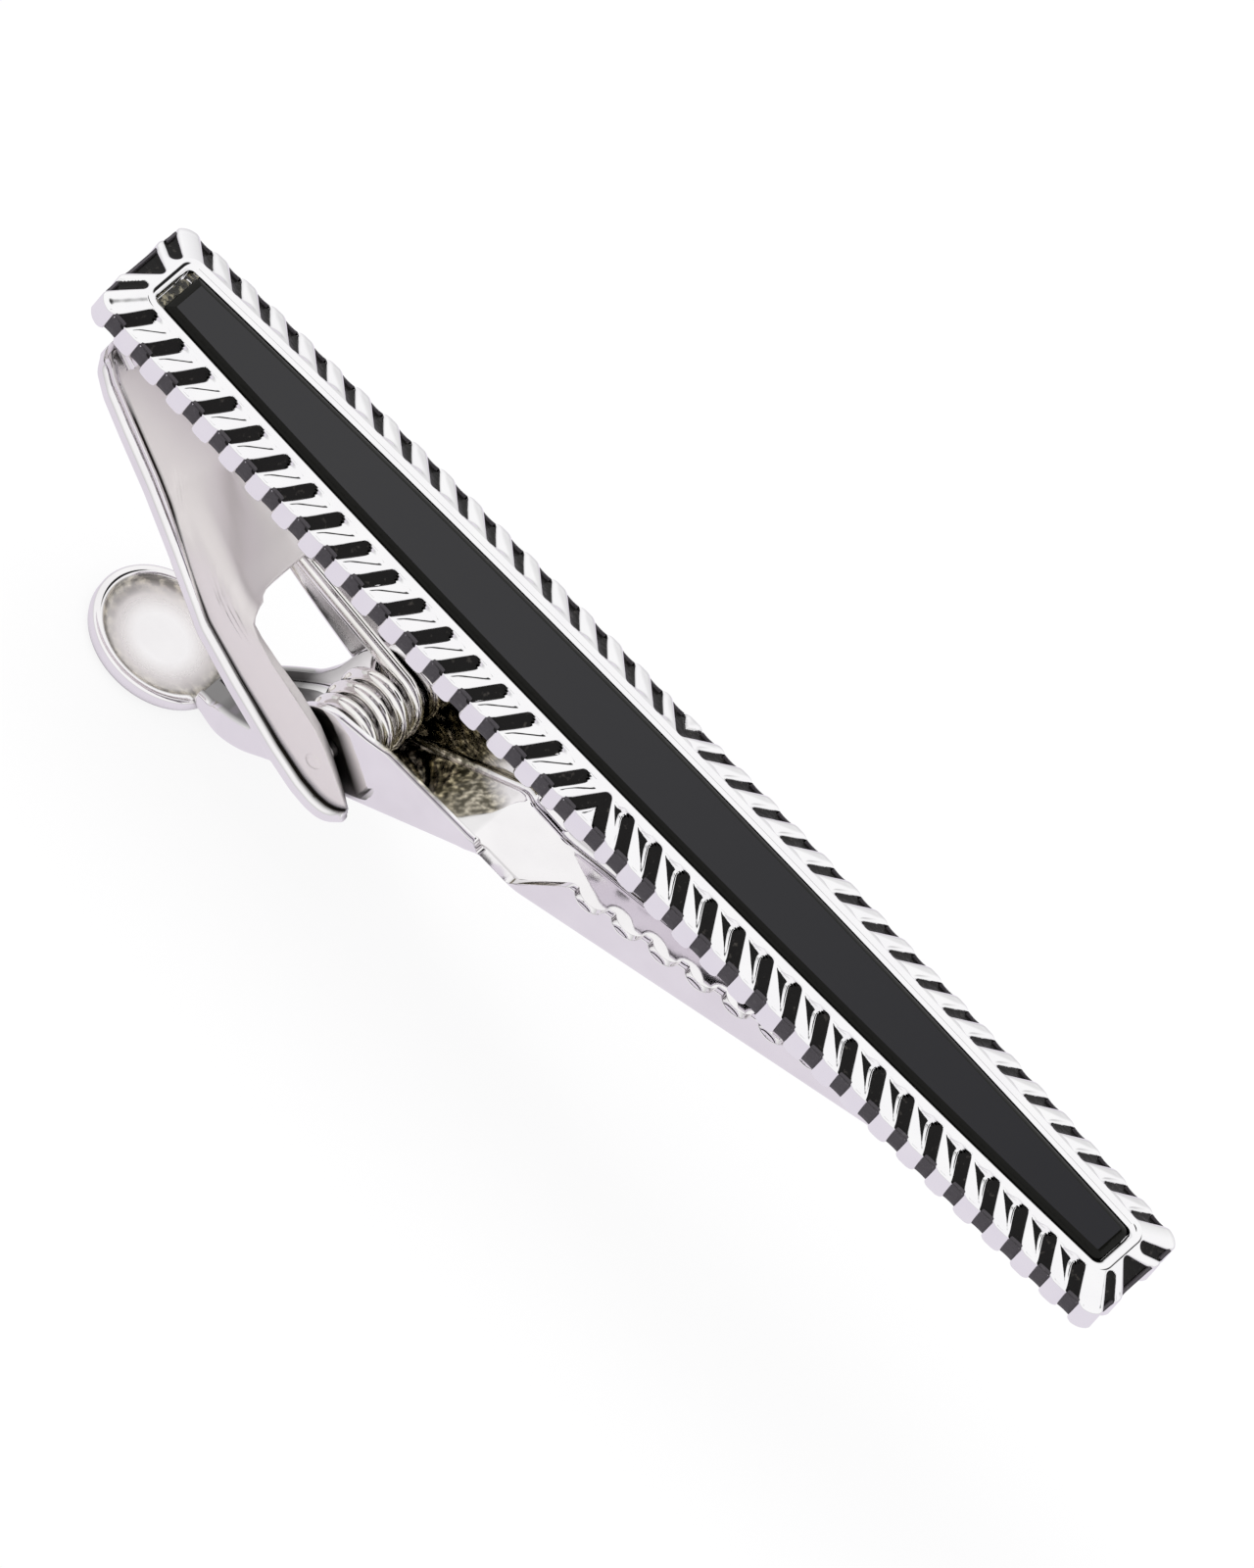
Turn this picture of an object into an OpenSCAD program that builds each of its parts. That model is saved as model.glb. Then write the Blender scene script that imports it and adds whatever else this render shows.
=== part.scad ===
// Tie clip: a tapered bar with an inlaid front, and a sprung jaw on its back.
// The origin is the centre of the inlay's front face. +Z points out of the front,
// +X along the bar towards the jaw's tip, and Y across the bar.

/* [Bar] */
// Length of the bar
bar_len = 58; // [54:0.5:64]
// Width of the bar at its middle
bar_mid_w = 7.9; // [7.6:0.1:9]
// Width of the bar at its ends
bar_end_w = 6.1; // [5.9:0.1:7]
// Thickness of the bar
bar_t = 1.8; // [1.6:0.1:2.4]
// Radius of the bar's corners, seen from the front
bar_corner_r = 0.9; // [0.6:0.1:1.2]
// Fall of the notched border from the rim to the bar's outer edge
border_fall = 0.5; // [0.3:0.05:0.7]
// Rounding of the border's outer edge
border_round = 0.15; // [0.05:0.05:0.25]
// Flat rim between the bezel and the notched border
rim_w = 0.3; // [0.2:0.05:0.4]

// Width of the metal round the inlay, across the bar at its middle
frame_mid_w = 2.1; // [1.9:0.05:2.4]
// Width of the metal round the inlay, across the bar at its ends
frame_end_w = 1.85; // [1.7:0.05:2]
// Width of the metal beyond the inlay's ends, along the bar
frame_tip_w = 1.7; // [1.6:0.05:2.2]

/* [Notches] */
// Distance from one notch to the next along a long side
notch_pitch = 1.59; // [1.5:0.01:1.8]
// Distance from the middle notch to its neighbours, at their inner ends
notch_first = 1.31; // [1.2:0.01:1.5]
// Width of a notch across its own length
notch_w = 0.52; // [0.4:0.01:0.6]
// Lean of a notch towards the nearer end of the bar, in degrees
notch_lean = 34; // [25:1:38]
// Depth of a notch below the border and behind the side face
notch_depth = 0.42; // [0.35:0.01:0.5]
// Depth of the enamel's surface below the border
enamel_recess = 0.14; // [0.05:0.01:0.2]
// Rounding of the prongs between the notches, across and along the bar
prong_round = [0.3, 0.22]; // [0.1:0.01:0.32]

/* [Inlay] */
// Depth of the pocket
pocket_depth = 0.8; // [0.6:0.05:1]
// Radius of the pocket's corners
pocket_corner_r = 0.3; // [0.2:0.05:0.5]
// Width of the bevel round the pocket's mouth
bezel_w = 0.2; // [0.1:0.05:0.25]
// Depth of the bevel round the pocket's mouth
bezel_h = 0.15; // [0.1:0.05:0.25]
// Thickness of the glue under the inlay
glue_t = 0.1; // [0.05:0.01:0.2]
// Gap between the inlay and the pocket's side walls
inlay_fit = 0.04; // [0.02:0.01:0.08]
// Gap between the inlay and the pocket's wall at the fixed arm's end
inlay_end_gap = 0.5; // [0.2:0.05:0.8]
// Bevel round the inlay's front face
inlay_bevel = 0.12; // [0.05:0.01:0.2]

/* [Fixed arm] */
// Thickness of the arm's sheet
arm_t = 0.5; // [0.4:0.05:0.6]
// Distance from the bar's end to the arm's fold
arm_inset = 1.6; // [1:0.1:3]
// Run of the arm along the bar, from its fold to its tips
arm_run = 20; // [19:0.1:22]
// Reach of the arm behind the bar's back, to its lowest lip
arm_drop = 11.1; // [10.5:0.1:12]
// Slope of the arm's web away from the bar, in degrees
arm_slope = 24; // [22:0.5:26]
// Outer width of the arm at its fold
arm_fold_w = 4.8; // [4.4:0.1:5.2]
// Inner radius of the fold
fold_r = 0.3; // [0.2:0.05:0.4]
// Length of the leaf that is soldered to the bar's back, from the fold
leaf_len = 13.5; // [9:0.5:15]
// Thickness of the solder
solder_t = 0.1; // [0.05:0.01:0.2]
// Radius of the bead along the arm's lip
lip_r = 0.45; // [0.36:0.01:0.48]

/* [Spring and pin] */
// Radius of the pivot pin
pin_r = 0.45; // [0.35:0.05:0.55]
// Diameter of the spring's wire
wire_d = 0.62; // [0.5:0.01:0.64]
// Radius of the coil, to the middle of its wire
coil_r = 1.53; // [1.4:0.01:1.7]
// Distance from one turn of the coil to the next
coil_pitch = 1.04; // [1.03:0.01:1.1]
// Length of the spring's leg on the arm
arm_leg_len = 7.3; // [6.8:0.1:8]
// Length of the spring's leg on the lever
lever_leg_len = 3.6; // [2.5:0.1:4]

/* [Jaw and lever] */
// Thickness of the jaw's sheet
jaw_t = 0.4; // [0.3:0.05:0.45]
// Outer width of the jaw at its cheeks
cheek_w = 5.2; // [5.1:0.1:5.6]
// Outer width of the jaw at its tip
tip_w = 2; // [1.6:0.1:2.6]
// Reach of the jaw from the pin to its tip
jaw_len = 31.9; // [29:0.1:33]
// Depth of the jaw's channel at its tip
tip_h = 1.6; // [1.2:0.1:2]
// Radius of the cheeks round the pin
cheek_r = 2.15; // [2:0.05:2.3]
// Distance from one tooth to the next
tooth_pitch = 1.81; // [1.6:0.01:2]
// Depth of the scallops between the teeth
tooth_h = 0.57; // [0.4:0.01:0.7]
// Reach of the lever from the pin to the paddle's end
lever_len = 11.2; // [10.5:0.1:12]
// Fall of the lever from the pin to the paddle's underside
lever_drop = 5.9; // [5.7:0.1:6.4]
// Length and width of the thumb paddle
paddle_size = [6.3, 5.9]; // [5.6:0.1:6.6]
// Thickness of the paddle with its raised rim
paddle_h = 0.9; // [0.8:0.05:1.1]
// Width of the paddle's rim
paddle_rim = 0.4; // [0.3:0.05:0.5]
// Width of the lever at its neck
neck_w = 2.9; // [2.6:0.1:3.2]

/* [Clearances] */
// Gap between the pin and the jaw's bores
pin_running = 0.05; // [0.02:0.01:0.08]
// Gap between the pin and the arm's bores
pin_fixed = 0.01; // [0.005:0.005:0.02]
// Gap between each cheek and the arm's prong
cheek_gap = 0.3; // [0.25:0.05:0.4]
// Gap between the spring and the sheet that it bears on
spring_gap = 0.1; // [0.08:0.01:0.15]
// Gap between the last tooth and the bar's back
bite_gap = 0.1; // [0.05:0.01:0.2]

/* [Hidden] */
// Overrun of every cut past the face that it opens
over = 0.5;
// Steps along a long side of the bar, and in each of its corners
side_steps = 8;
corner_steps = 3;
// Steps in the rounding of a prong
prong_steps = 2;
// Facets of a notch's round inner end
notch_fn = 12;
// Steps in a bend of the sheet
bend_steps = 3;
// Facets of a round cut or pin
round_fn = 48;
bend_angles = [for (i = [0:bend_steps]) 90 - 90 * i / bend_steps];

// Bar and pocket
half_len = bar_len / 2;
back_z = -bar_t;
pocket_len = bar_len - 2 * frame_tip_w;
pocket_mid_w = bar_mid_w - 2 * frame_mid_w;
pocket_end_w = bar_end_w - 2 * frame_end_w;
rim_edge = bezel_w + rim_w;
rim_len = pocket_len + 2 * rim_edge;
rim_mid_w = pocket_mid_w + 2 * rim_edge;
rim_end_w = pocket_end_w + 2 * rim_edge;
rim_corner_r = pocket_corner_r + rim_edge;
// Land between the rim and a notch's inner end
notch_land = 0.05;
// Room kept free of notches at each corner of the bar
corner_keep = 2.2;
side_notches = floor((half_len - corner_keep - notch_first) / notch_pitch);
slot_len = bar_mid_w / 2;
// Places and leans of the notches on the bar's ends
end_notch_y_share = 0.39;
end_notch_lean = 45;
end_middle_lean = 38;

// Arm: its web starts on the fold and falls away from the bar
arm_x = -half_len + arm_inset;
leaf_z = back_z - solder_t;
fold_x = arm_x + fold_r + arm_t;
fold_z = leaf_z - arm_t - fold_r;
web_x = fold_x - fold_r * sin(arm_slope);
web_z = fold_z - fold_r * cos(arm_slope);
// The web lies a little inside both faces of the fold that it grows from
web_set = 0.03;
web_t = (arm_t - 2 * web_set) / cos(arm_slope);
window_share = 0.56;
window_x = arm_x + window_share * arm_run;
window_z = web_z - web_set - (window_x - web_x) * tan(arm_slope);
prong_flat_share = 0.05;
// Stations along the arm: share of its run, and share of its reach at the lip
lip_shares = [
    [0.02, 0.235], [0.04, 0.275], [0.065, 0.306], [0.14, 0.383], [0.255, 0.494],
    [0.38, 0.63], [0.525, 0.8], [0.56, 0.825], [0.65, 0.883], [0.78, 0.951],
    [0.88, 0.995], [0.935, 0.99], [0.97, 0.965], [1, 0.935]
];
// Upper edge of the prongs: shares of the arm's run and reach
prong_shares = [
    [0.56, 0.52], [0.6, 0.587], [0.65, 0.613], [0.79, 0.655], [0.852, 0.698], [0.893, 0.753],
    [0.965, 0.856], [0.985, 0.905], [0.99, 1.1], [1.1, 1.1]
];
// Pin's place on the arm
pin_share = [0.875, 0.816];
pin_x = arm_x + pin_share[0] * arm_run;
pin_z = back_z - pin_share[1] * arm_drop;
arm_tip_w = cheek_w + 2 * cheek_gap + 2 * arm_t;
// Share of the run at which the arm reaches its full width
arm_full_share = 0.8;
arm_bend_r = 1.1;
arm_crown = 0.12;
// Shares of the run where the arm's gable starts to flatten, and where it is an arch with walls
gable_share = [0.3, 0.51];
// Stretch of a gable's slope that carries the points of the arch's bend, as shares
gable_span = [0.3, 0.92];
// Angles on the bead where the sheet's outer and inner faces meet it, on the arch and on the gable
bead_outer_turn = [84, 135];
bead_inner_turn = [-180, -165];
bead_steps = 3;
// Angle of the bead's lowest outer point in a section
bead_foot_turn = -60;
window_w = 4.4;
window_corner_r = 0.9;

// Spring: the coil starts from the lever's leg and ends in the arm's leg
wire_r = wire_d / 2;
coil_out = coil_r + wire_r;
arm_leg_turn = 7;
lever_leg_turn = 20.5;
coil_start = lever_leg_turn - 90;
coil_end = 90 - arm_leg_turn + 3 * 360;
coil_w = coil_pitch * (coil_end - coil_start) / 360;
curl_rings = 8;
wire_sides = 6;

// Jaw: places are given from the pin
pin_to_back = back_z - pin_z;
seat_r = coil_out + spring_gap + jaw_t;
jaw_top_z = pin_to_back - bite_gap;
jaw_tip_z = jaw_top_z - tip_h;
// Stations of the underside on the lever: shares of its reach, its fall and its spread
lever_foot_shares = [
    [0.5, 0.97, 0], [0.445, 0.965, 0], [0.41, 0.94, 0.35], [0.357, 0.84, 1], [0.16, 0.523, 1]
];
// Stations on the jaw: shares of its reach, its rise and its width
jaw_foot_shares = [[0.22, 0.173, 1], [0.229, 0.172, 0.9], [0.295, 0.166, 0.885]];
jaw_web = [jaw_foot_shares[2].x * jaw_len, jaw_foot_shares[2].y * pin_to_back];
jaw_foot = [jaw_foot_shares[0].x * jaw_len, jaw_foot_shares[0].y * pin_to_back];
// Stations at the jaw's tip: shares of its reach, its rise and its width
jaw_tip_shares = [[0.984, 0.977, 1], [1, 1, 0.7]];
// Angle at which the seat under the coil meets the jaw's floor
seat_end = atan2(jaw_foot.y, jaw_foot.x) - acos(seat_r / norm(jaw_foot));
// Upper edge of the lever's and the jaw's walls
lever_top_shares = [[0.6, 0.79], [0.509, 0.786], [0.446, 0.761], [0.411, 0.685], [0.25, 0.43], [0.205, 0.227]];
jaw_top_shares = [
    [0.028, 0.255], [0.063, 0.288], [0.222, 0.294], [0.229, 0.235], [0.286, 0.228], [0.347, 0.503]
];
jaw_wall = 6;
cheek_steps = 8;
jaw_bend_r = 0.85;
jaw_bend_share = 0.7;
tooth_r = 0.75;
// Distance from the first tooth's top to the first scallop's middle
tooth_first = 1;
paddle_x = -lever_len + paddle_size.x / 2;
paddle_edge = 0.2;
paddle_steps = 36;

function lerp(a, b, t) = a + (b - a) * t;

// Half-width of a plate whose sides bow outwards
function bowed(x, half, mid_w, end_w) = (mid_w - (mid_w - end_w) * pow(x / half, 2)) / 2;

// Points of one rounded corner, turning clockwise from a start angle
function corner(c, r, start, sx) = [
    for (i = [0:corner_steps]) let (a = start - sx * 90 * i / corner_steps)
        [c.x + r * cos(a), c.y + r * sin(a)]
];

// Outline of a bowed plate from x0 to x1, with its own radius at each end
function plate(x0, x1, mid_w, end_w, r0, r1, half) =
    let (
        a0 = x0 + r0,
        a1 = x1 - r1,
        y0 = bowed(a0, half, mid_w, end_w),
        y1 = bowed(a1, half, mid_w, end_w),
        upper = [
            for (i = [1:side_steps - 1]) let (x = lerp(a0, a1, i / side_steps))
                [x, bowed(x, half, mid_w, end_w)]
        ],
        top = concat(
            corner([a0, y0 - r0], r0, 180, 1), upper, corner([a1, y1 - r1], r1, 90, 1)
        )
    )
    concat(top, [for (i = [len(top) - 1:-1:0]) [top[i].x, -top[i].y]]);

// Outline of the bar, drawn in by an inset
function bar_outline(inset) = plate(
    -half_len + inset, half_len - inset, bar_mid_w - 2 * inset, bar_end_w - 2 * inset,
    bar_corner_r - inset, bar_corner_r - inset, half_len
);

// Outline of the pocket, spread by an amount
function pocket_outline(spread) = plate(
    -pocket_len / 2 - spread, pocket_len / 2 + spread, pocket_mid_w + 2 * spread,
    pocket_end_w + 2 * spread, pocket_corner_r + spread, pocket_corner_r + spread, pocket_len / 2
);

// Outline of the inlay, which stops short of the pocket at one end
function inlay_outline(inset) = plate(
    -pocket_len / 2 + inlay_end_gap + inset, pocket_len / 2 - inlay_fit - inset,
    pocket_mid_w - 2 * (inlay_fit + inset), pocket_end_w - 2 * (inlay_fit + inset),
    pocket_corner_r - inlay_fit - inset, pocket_corner_r - inlay_fit - inset, pocket_len / 2
);

function at_z(outline, z) = [for (p = outline) [p.x, p.y, z]];
function at_x(outline, x) = [for (p = outline) [x, p.x, p.y]];

// End faces of a channel whose outline runs out along one face and back along the other
function rungs(n) = let (half = n / 2) [
    for (i = [0:(half - 3) / 2])
        each [[i, i + 1, half - i - 1, half - i], [half + i, half + i + 1, n - i - 1, (n - i) % n]]
];

function flipped(face) = [for (i = [len(face) - 1:-1:0]) face[i]];

// Solid through a row of outlines that have equal numbers of points
module loft(rings, channel = false) {
    n = len(rings[0]);
    last = (len(rings) - 1) * n;
    sides = [
        for (k = [0:len(rings) - 2], i = [0:n - 1])
            let (a = k * n + i, b = k * n + (i + 1) % n)
                each [[a, b, a + n], [b, b + n, a + n]]
    ];
    end = channel ? rungs(n) : [[for (i = [0:n - 1]) i]];
    first_end = [for (f = end) flipped(f)];
    last_end = [for (f = end) [for (i = f) last + i]];
    polyhedron(points = [for (r = rings) each r], faces = concat(sides, first_end, last_end), convexity = 8);
}

// Bar without its notches and pocket, drawn in by an inset and lowered at its front
module bar_blank(inset, lower, foot, edge_r) {
    rim = plate(
        -rim_len / 2, rim_len / 2, rim_mid_w, rim_end_w, rim_corner_r, rim_corner_r, rim_len / 2
    );
    side = [
        at_z(bar_outline(inset), back_z - foot),
        at_z(bar_outline(inset), -border_fall - edge_r - lower)
    ];
    edge = edge_r > 0 ? [at_z(bar_outline(inset + edge_r), -border_fall - lower)] : [];
    loft(concat(side, edge, [at_z(rim, -lower)]));
}

function rim_half(x) = bowed(x, rim_len / 2, rim_mid_w, rim_end_w);

// One notch from its round inner end outwards along +X
module slot() {
    height = bar_t + 2 * over;
    translate([0, 0, back_z - over]) {
        cylinder(d = notch_w, h = height, $fn = notch_fn);
        translate([0, -notch_w / 2, 0])
            cube([slot_len, notch_w, height]);
    }
}

// Cut that rounds the two prongs beside a notch, where it leaves the edge along +Y
module flare(lean) {
    mouth = notch_w / cos(lean) / 2;
    side = [
        for (i = [0:prong_steps]) let (a = 90 * i / prong_steps)
            [mouth + prong_round.x * (1 - cos(a)), prong_round.y * (sin(a) - 1)]
    ];
    far = mouth + prong_round.x;
    outline = concat(
        side, [[far, over], [-far, over]],
        [for (i = [prong_steps:-1:0]) [-side[i].x, side[i].y]]
    );
    translate([0, 0, back_z - over])
        linear_extrude(bar_t + 2 * over)
            polygon(outline);
}

// Places of the notches on one quarter of the bar's long side
function side_places() = concat(
    [0], [for (k = [0:side_notches]) notch_first + k * notch_pitch]
);

// Notches of one quarter of the bar
module quarter_slots() {
    for (x = side_places())
        translate([x, rim_half(x) + notch_land + notch_w / 2, 0])
            rotate([0, 0, 90 - notch_lean])
                slot();
    end_x = rim_len / 2 + notch_land + notch_w / 2;
    translate([end_x, 0, 0])
        rotate([0, 0, end_middle_lean])
            slot();
    translate([end_x, end_notch_y_share * bar_end_w / 2, 0])
        rotate([0, 0, end_notch_lean])
            slot();
}

// Prong roundings of one quarter of the bar
module quarter_flares() {
    for (x = side_places()) {
        reach = bowed(x, half_len, bar_mid_w, bar_end_w) - rim_half(x) - notch_land - notch_w / 2;
        out_x = x + reach * tan(notch_lean);
        translate([out_x, bowed(out_x, half_len, bar_mid_w, bar_end_w), 0])
            flare(notch_lean);
    }
    end_reach = half_len - rim_len / 2 - notch_land - notch_w / 2;
    translate([half_len, end_reach * tan(end_middle_lean), 0])
        rotate([0, 0, -90])
            flare(end_middle_lean);
}

// Four mirrored copies, one for each quarter of the bar
module quarters() {
    for (mx = [0, 1], my = [0, 1])
        mirror([mx, 0, 0])
            mirror([0, my, 0])
                children();
}

module bar_frame() {
    color("gainsboro")
        difference() {
            bar_blank(0, 0, 0, border_round);
            difference() {
                quarters() quarter_slots();
                bar_blank(notch_depth, notch_depth, 2 * over, 0);
            }
            quarters() quarter_flares();
            loft([
                at_z(pocket_outline(0), -pocket_depth),
                at_z(pocket_outline(0), -bezel_h),
                at_z(pocket_outline(bezel_w), 0),
                at_z(pocket_outline(bezel_w), over)
            ]);
        }
}

module edge_enamel() {
    color([0.1, 0.1, 0.1])
        difference() {
            intersection() {
                quarters() quarter_slots();
                bar_blank(prong_round.y, enamel_recess, 0, 0);
            }
            bar_blank(notch_depth, notch_depth, 2 * over, 0);
        }
}

module inlay() {
    color([0.16, 0.16, 0.17])
        loft([
            at_z(inlay_outline(0), -pocket_depth + glue_t),
            at_z(inlay_outline(0), -inlay_bevel),
            at_z(inlay_outline(inlay_bevel), 0)
        ]);
}

// Glue bed, squeezed out into the gap at the inlay's end
module inlay_adhesive() {
    color("darkkhaki")
        translate([0, 0, -pocket_depth])
            linear_extrude(glue_t)
                polygon(plate(
                    -pocket_len / 2 + inlay_fit, pocket_len / 2 - inlay_fit,
                    pocket_mid_w - 4 * inlay_fit, pocket_end_w - 4 * inlay_fit,
                    pocket_corner_r, pocket_corner_r, pocket_len / 2
                ));
}

// Leaf's outline under the bar, spread by an amount
module leaf_outline(spread) {
    w = arm_fold_w - 2 * lip_r;
    polygon([
        [fold_x - spread, -w / 2 - spread], [fold_x + leaf_len - w / 2, -w / 2 - spread],
        [fold_x + leaf_len - w / 2, w / 2 + spread], [fold_x - spread, w / 2 + spread]
    ]);
    translate([fold_x + leaf_len - w / 2, 0])
        circle(r = w / 2 + spread, $fn = round_fn);
}

module solder_joint() {
    color("silver")
        translate([0, 0, leaf_z])
            linear_extrude(solder_t)
                leaf_outline(2 * solder_t);
}

function arm_half_w(share) = lerp(
    arm_fold_w, arm_tip_w, min(share / arm_full_share, 1)
) / 2;

// Height of the web's upper face, which levels off beyond the window
function arm_web_z(x) = x < window_x
    ? web_z - web_set - (x - web_x) * tan(arm_slope)
    : window_z - prong_flat_share * (x - window_x);

// How far the arm's section is a gable: 1 at the fold, 0 from the window on
function gable(share) = 1 - min(max(
    (share - gable_share[0]) / (gable_share[1] - gable_share[0]), 0), 1);

// Point on a bead at an angle
function bead_point(centre, a) = centre + lip_r * [cos(a), sin(a)];

// Half a face of the arm's sheet, from its ridge to the bead: a gable, an arch, or between the two
function arm_face(ridge, seat, arc, g) = concat(
    [ridge],
    [
        for (i = [0:bend_steps])
            lerp(arc[i], lerp(ridge, seat, lerp(gable_span[0], gable_span[1], i / bend_steps)), g)
    ]
);

// Section of the arm across the bar: a bead runs along each lip
function arm_section(share, lip) =
    let (
        g = gable(share),
        w = arm_half_w(share),
        top = arm_web_z(arm_x + share * arm_run),
        foot = back_z - lip * arm_drop + lip_r,
        bend = min(arm_bend_r, top - foot - lip_r),
        bead = [w - arm_t + lip_r, foot],
        turn = [
            lerp(bead_outer_turn[0], bead_outer_turn[1], g), lerp(bead_inner_turn[0], bead_inner_turn[1], g)
        ],
        outer = arm_face(
            [0, top + arm_crown], bead_point(bead, turn[0]),
            [for (a = bend_angles) [w - bend * (1 - cos(a)), top - bend * (1 - sin(a))]], g
        ),
        inner = arm_face(
            [0, top + arm_crown - web_t], bead_point(bead, turn[1]),
            [
                for (a = bend_angles)
                    [w - bend + (bend - arm_t) * cos(a), top - web_t - (bend - arm_t) * (1 - sin(a))]
            ], g
        ),
        half = concat(
            outer,
            [for (i = [0:bead_steps]) bead_point(bead, lerp(turn[0], bead_foot_turn, i / bead_steps))],
            [
                for (i = [bead_steps:-1:0])
                    bead_point(bead, lerp(turn[1], bead_foot_turn, (i + 1) / (bead_steps + 2)))
            ],
            flipped(inner)
        )
    )
    concat(half, [for (i = [len(half) - 2:-1:1]) [-half[i].x, half[i].y]]);

// Window between the prongs, and the space above their upper edges
module arm_window() {
    translate([window_x, -window_w / 2, pin_z - arm_drop]) {
        translate([window_corner_r, 0, 0])
            cube([arm_run, window_w, 2 * arm_drop]);
        translate([0, window_corner_r, 0])
            cube([arm_run, window_w - 2 * window_corner_r, 2 * arm_drop]);
        for (y = [window_corner_r, window_w - window_corner_r])
            translate([window_corner_r, y, 0])
                cylinder(r = window_corner_r, h = 2 * arm_drop, $fn = round_fn);
    }
    edge = [for (p = prong_shares) [arm_x + p.x * arm_run, back_z - p.y * arm_drop]];
    rotate([90, 0, 0])
        linear_extrude(2 * arm_tip_w, center = true)
            polygon(concat(edge, [[edge[len(edge) - 1].x, back_z], [edge[0].x, back_z]]));
}

module clip_arm() {
    color("lightgray") {
        translate([0, 0, leaf_z - arm_t])
            linear_extrude(arm_t)
                leaf_outline(0);
        difference() {
            translate([fold_x, 0, fold_z])
                rotate([90, 0, 0])
                    cylinder(r = fold_r + arm_t, h = arm_fold_w - 2 * lip_r, center = true, $fn = round_fn);
            translate([fold_x, 0, fold_z])
                rotate([90, 0, 0])
                    cylinder(r = fold_r, h = arm_fold_w, center = true, $fn = round_fn);
            translate([fold_x, 0, fold_z])
                rotate([90, 0, 0])
                    linear_extrude(arm_fold_w, center = true)
                        polygon([
                            [0, 0], [-sin(arm_slope), -cos(arm_slope)], [1, -1], [1, 1], [0, 1]
                        ] * 2 * (fold_r + arm_t));
        }
        difference() {
            loft([for (s = lip_shares) at_x(arm_section(s.x, s.y), arm_x + s.x * arm_run)], channel = true);
            arm_window();
            translate([pin_x, 0, pin_z])
                rotate([90, 0, 0])
                    cylinder(r = pin_r + pin_fixed, h = 2 * arm_tip_w, center = true, $fn = round_fn);
        }
    }
}

module pivot_pin() {
    color("darkgray")
        translate([pin_x, 0, pin_z])
            rotate([90, 0, 0])
                cylinder(r = pin_r, h = arm_tip_w, center = true, $fn = round_fn);
}

// Middle line of the spring's wire, from the lever's leg to the arm's leg
function coil_point(a, y) = [coil_r * cos(a), y, coil_r * sin(a)];
function spring_path() =
    let (
        near = -coil_w / 2,
        steps = ceil(curl_rings * (coil_end - coil_start) / 360),
        first = coil_point(coil_start, near),
        last = coil_point(coil_end, -near)
    )
    concat(
        [for (s = [1, 0.5]) first - s * lever_leg_len * [-sin(coil_start), 0, cos(coil_start)]],
        [
            for (i = [0:steps]) let (t = i / steps)
                coil_point(lerp(coil_start, coil_end, t), lerp(near, -near, t))
        ],
        [for (s = [0.5, 1]) last + s * arm_leg_len * [-sin(coil_end), 0, cos(coil_end)]]
    );

// Tube along a path whose rings stand upright in planes through the Y axis
module wire(path) {
    n = wire_sides;
    rings = [
        for (i = [0:len(path) - 1])
            let (
                back = path[max(i - 1, 0)],
                ahead = path[min(i + 1, len(path) - 1)],
                along = (ahead - back) / norm(ahead - back),
                side = cross(along, [0, 1, 0]) / norm(cross(along, [0, 1, 0])),
                up = cross(side, along)
            )
            [for (k = [0:n - 1]) let (a = 360 * k / n) path[i] + wire_r * (cos(a) * side + sin(a) * up)]
    ];
    loft(rings);
}

// Least gap between one turn and the next, measured on the path's points
function least_gap(path) = min([
    for (i = [0:len(path) - 1], j = [i + curl_rings / 2:1:len(path) - 1])
        norm(path[i] - path[j]) - wire_d
]);

module torsion_spring() {
    echo(least_gap_of_the_coil = least_gap(spring_path()));
    color("whitesmoke")
        translate([pin_x, 0, pin_z])
            wire(spring_path());
}

// Underside of the jaw and lever along its middle: place from the pin, and half-width
function jaw_line() = concat(
    [for (p = lever_foot_shares) [-p.x * lever_len, -p.y * lever_drop, lerp(neck_w, cheek_w, p.z) / 2]],
    [for (a = [coil_start, seat_end]) [seat_r * cos(a), seat_r * sin(a), cheek_w / 2]],
    [for (p = jaw_foot_shares) [p.x * jaw_len, p.y * pin_to_back, p.z * cheek_w / 2]],
    [for (p = jaw_tip_shares) [p.x * jaw_len, lerp(jaw_web.y, jaw_tip_z, p.y), p.z * tip_w / 2]]
);

// Section of the jaw across the bar: a channel with a rounded floor
function jaw_section(p) =
    let (
        w = p.z,
        bend = min(jaw_bend_r, jaw_bend_share * w),
        outer = concat(
            [[0, p.y]],
            [for (a = bend_angles) [w - bend * (1 - cos(a)), p.y + bend * (1 - sin(a))]],
            [[w, p.y + jaw_wall], [w - jaw_t, p.y + jaw_wall]]
        ),
        inner = [
            for (i = [bend_steps:-1:0]) let (a = bend_angles[i])
                [w - bend + (bend - jaw_t) * cos(a), p.y + jaw_t + (bend - jaw_t) * (1 - sin(a))]
        ],
        half = concat(outer, inner, [[0, p.y + jaw_t]])
    )
    concat(
        [for (q = half) [-q.x, q.y]],
        [for (i = [len(half) - 2:-1:1]) half[i]]
    );

// Space above the jaw's upper edge, seen from the side
module jaw_profile() {
    edge = concat(
        [for (p = lever_top_shares) [-p.x * lever_len, -p.y * lever_drop]],
        [for (i = [0:cheek_steps]) let (a = lerp(200, 95, i / cheek_steps)) cheek_r * [cos(a), sin(a)]],
        [for (p = jaw_top_shares) [p.x * jaw_len, p.y * pin_to_back]],
        [[jaw_len, jaw_top_z], [jaw_len + over, jaw_top_z]]
    );
    sky = jaw_top_z + jaw_wall;
    rotate([90, 0, 0])
        linear_extrude(2 * cheek_w, center = true)
            polygon(concat(edge, [[jaw_len + over, sky], [edge[0].x, sky]]));
}

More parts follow.
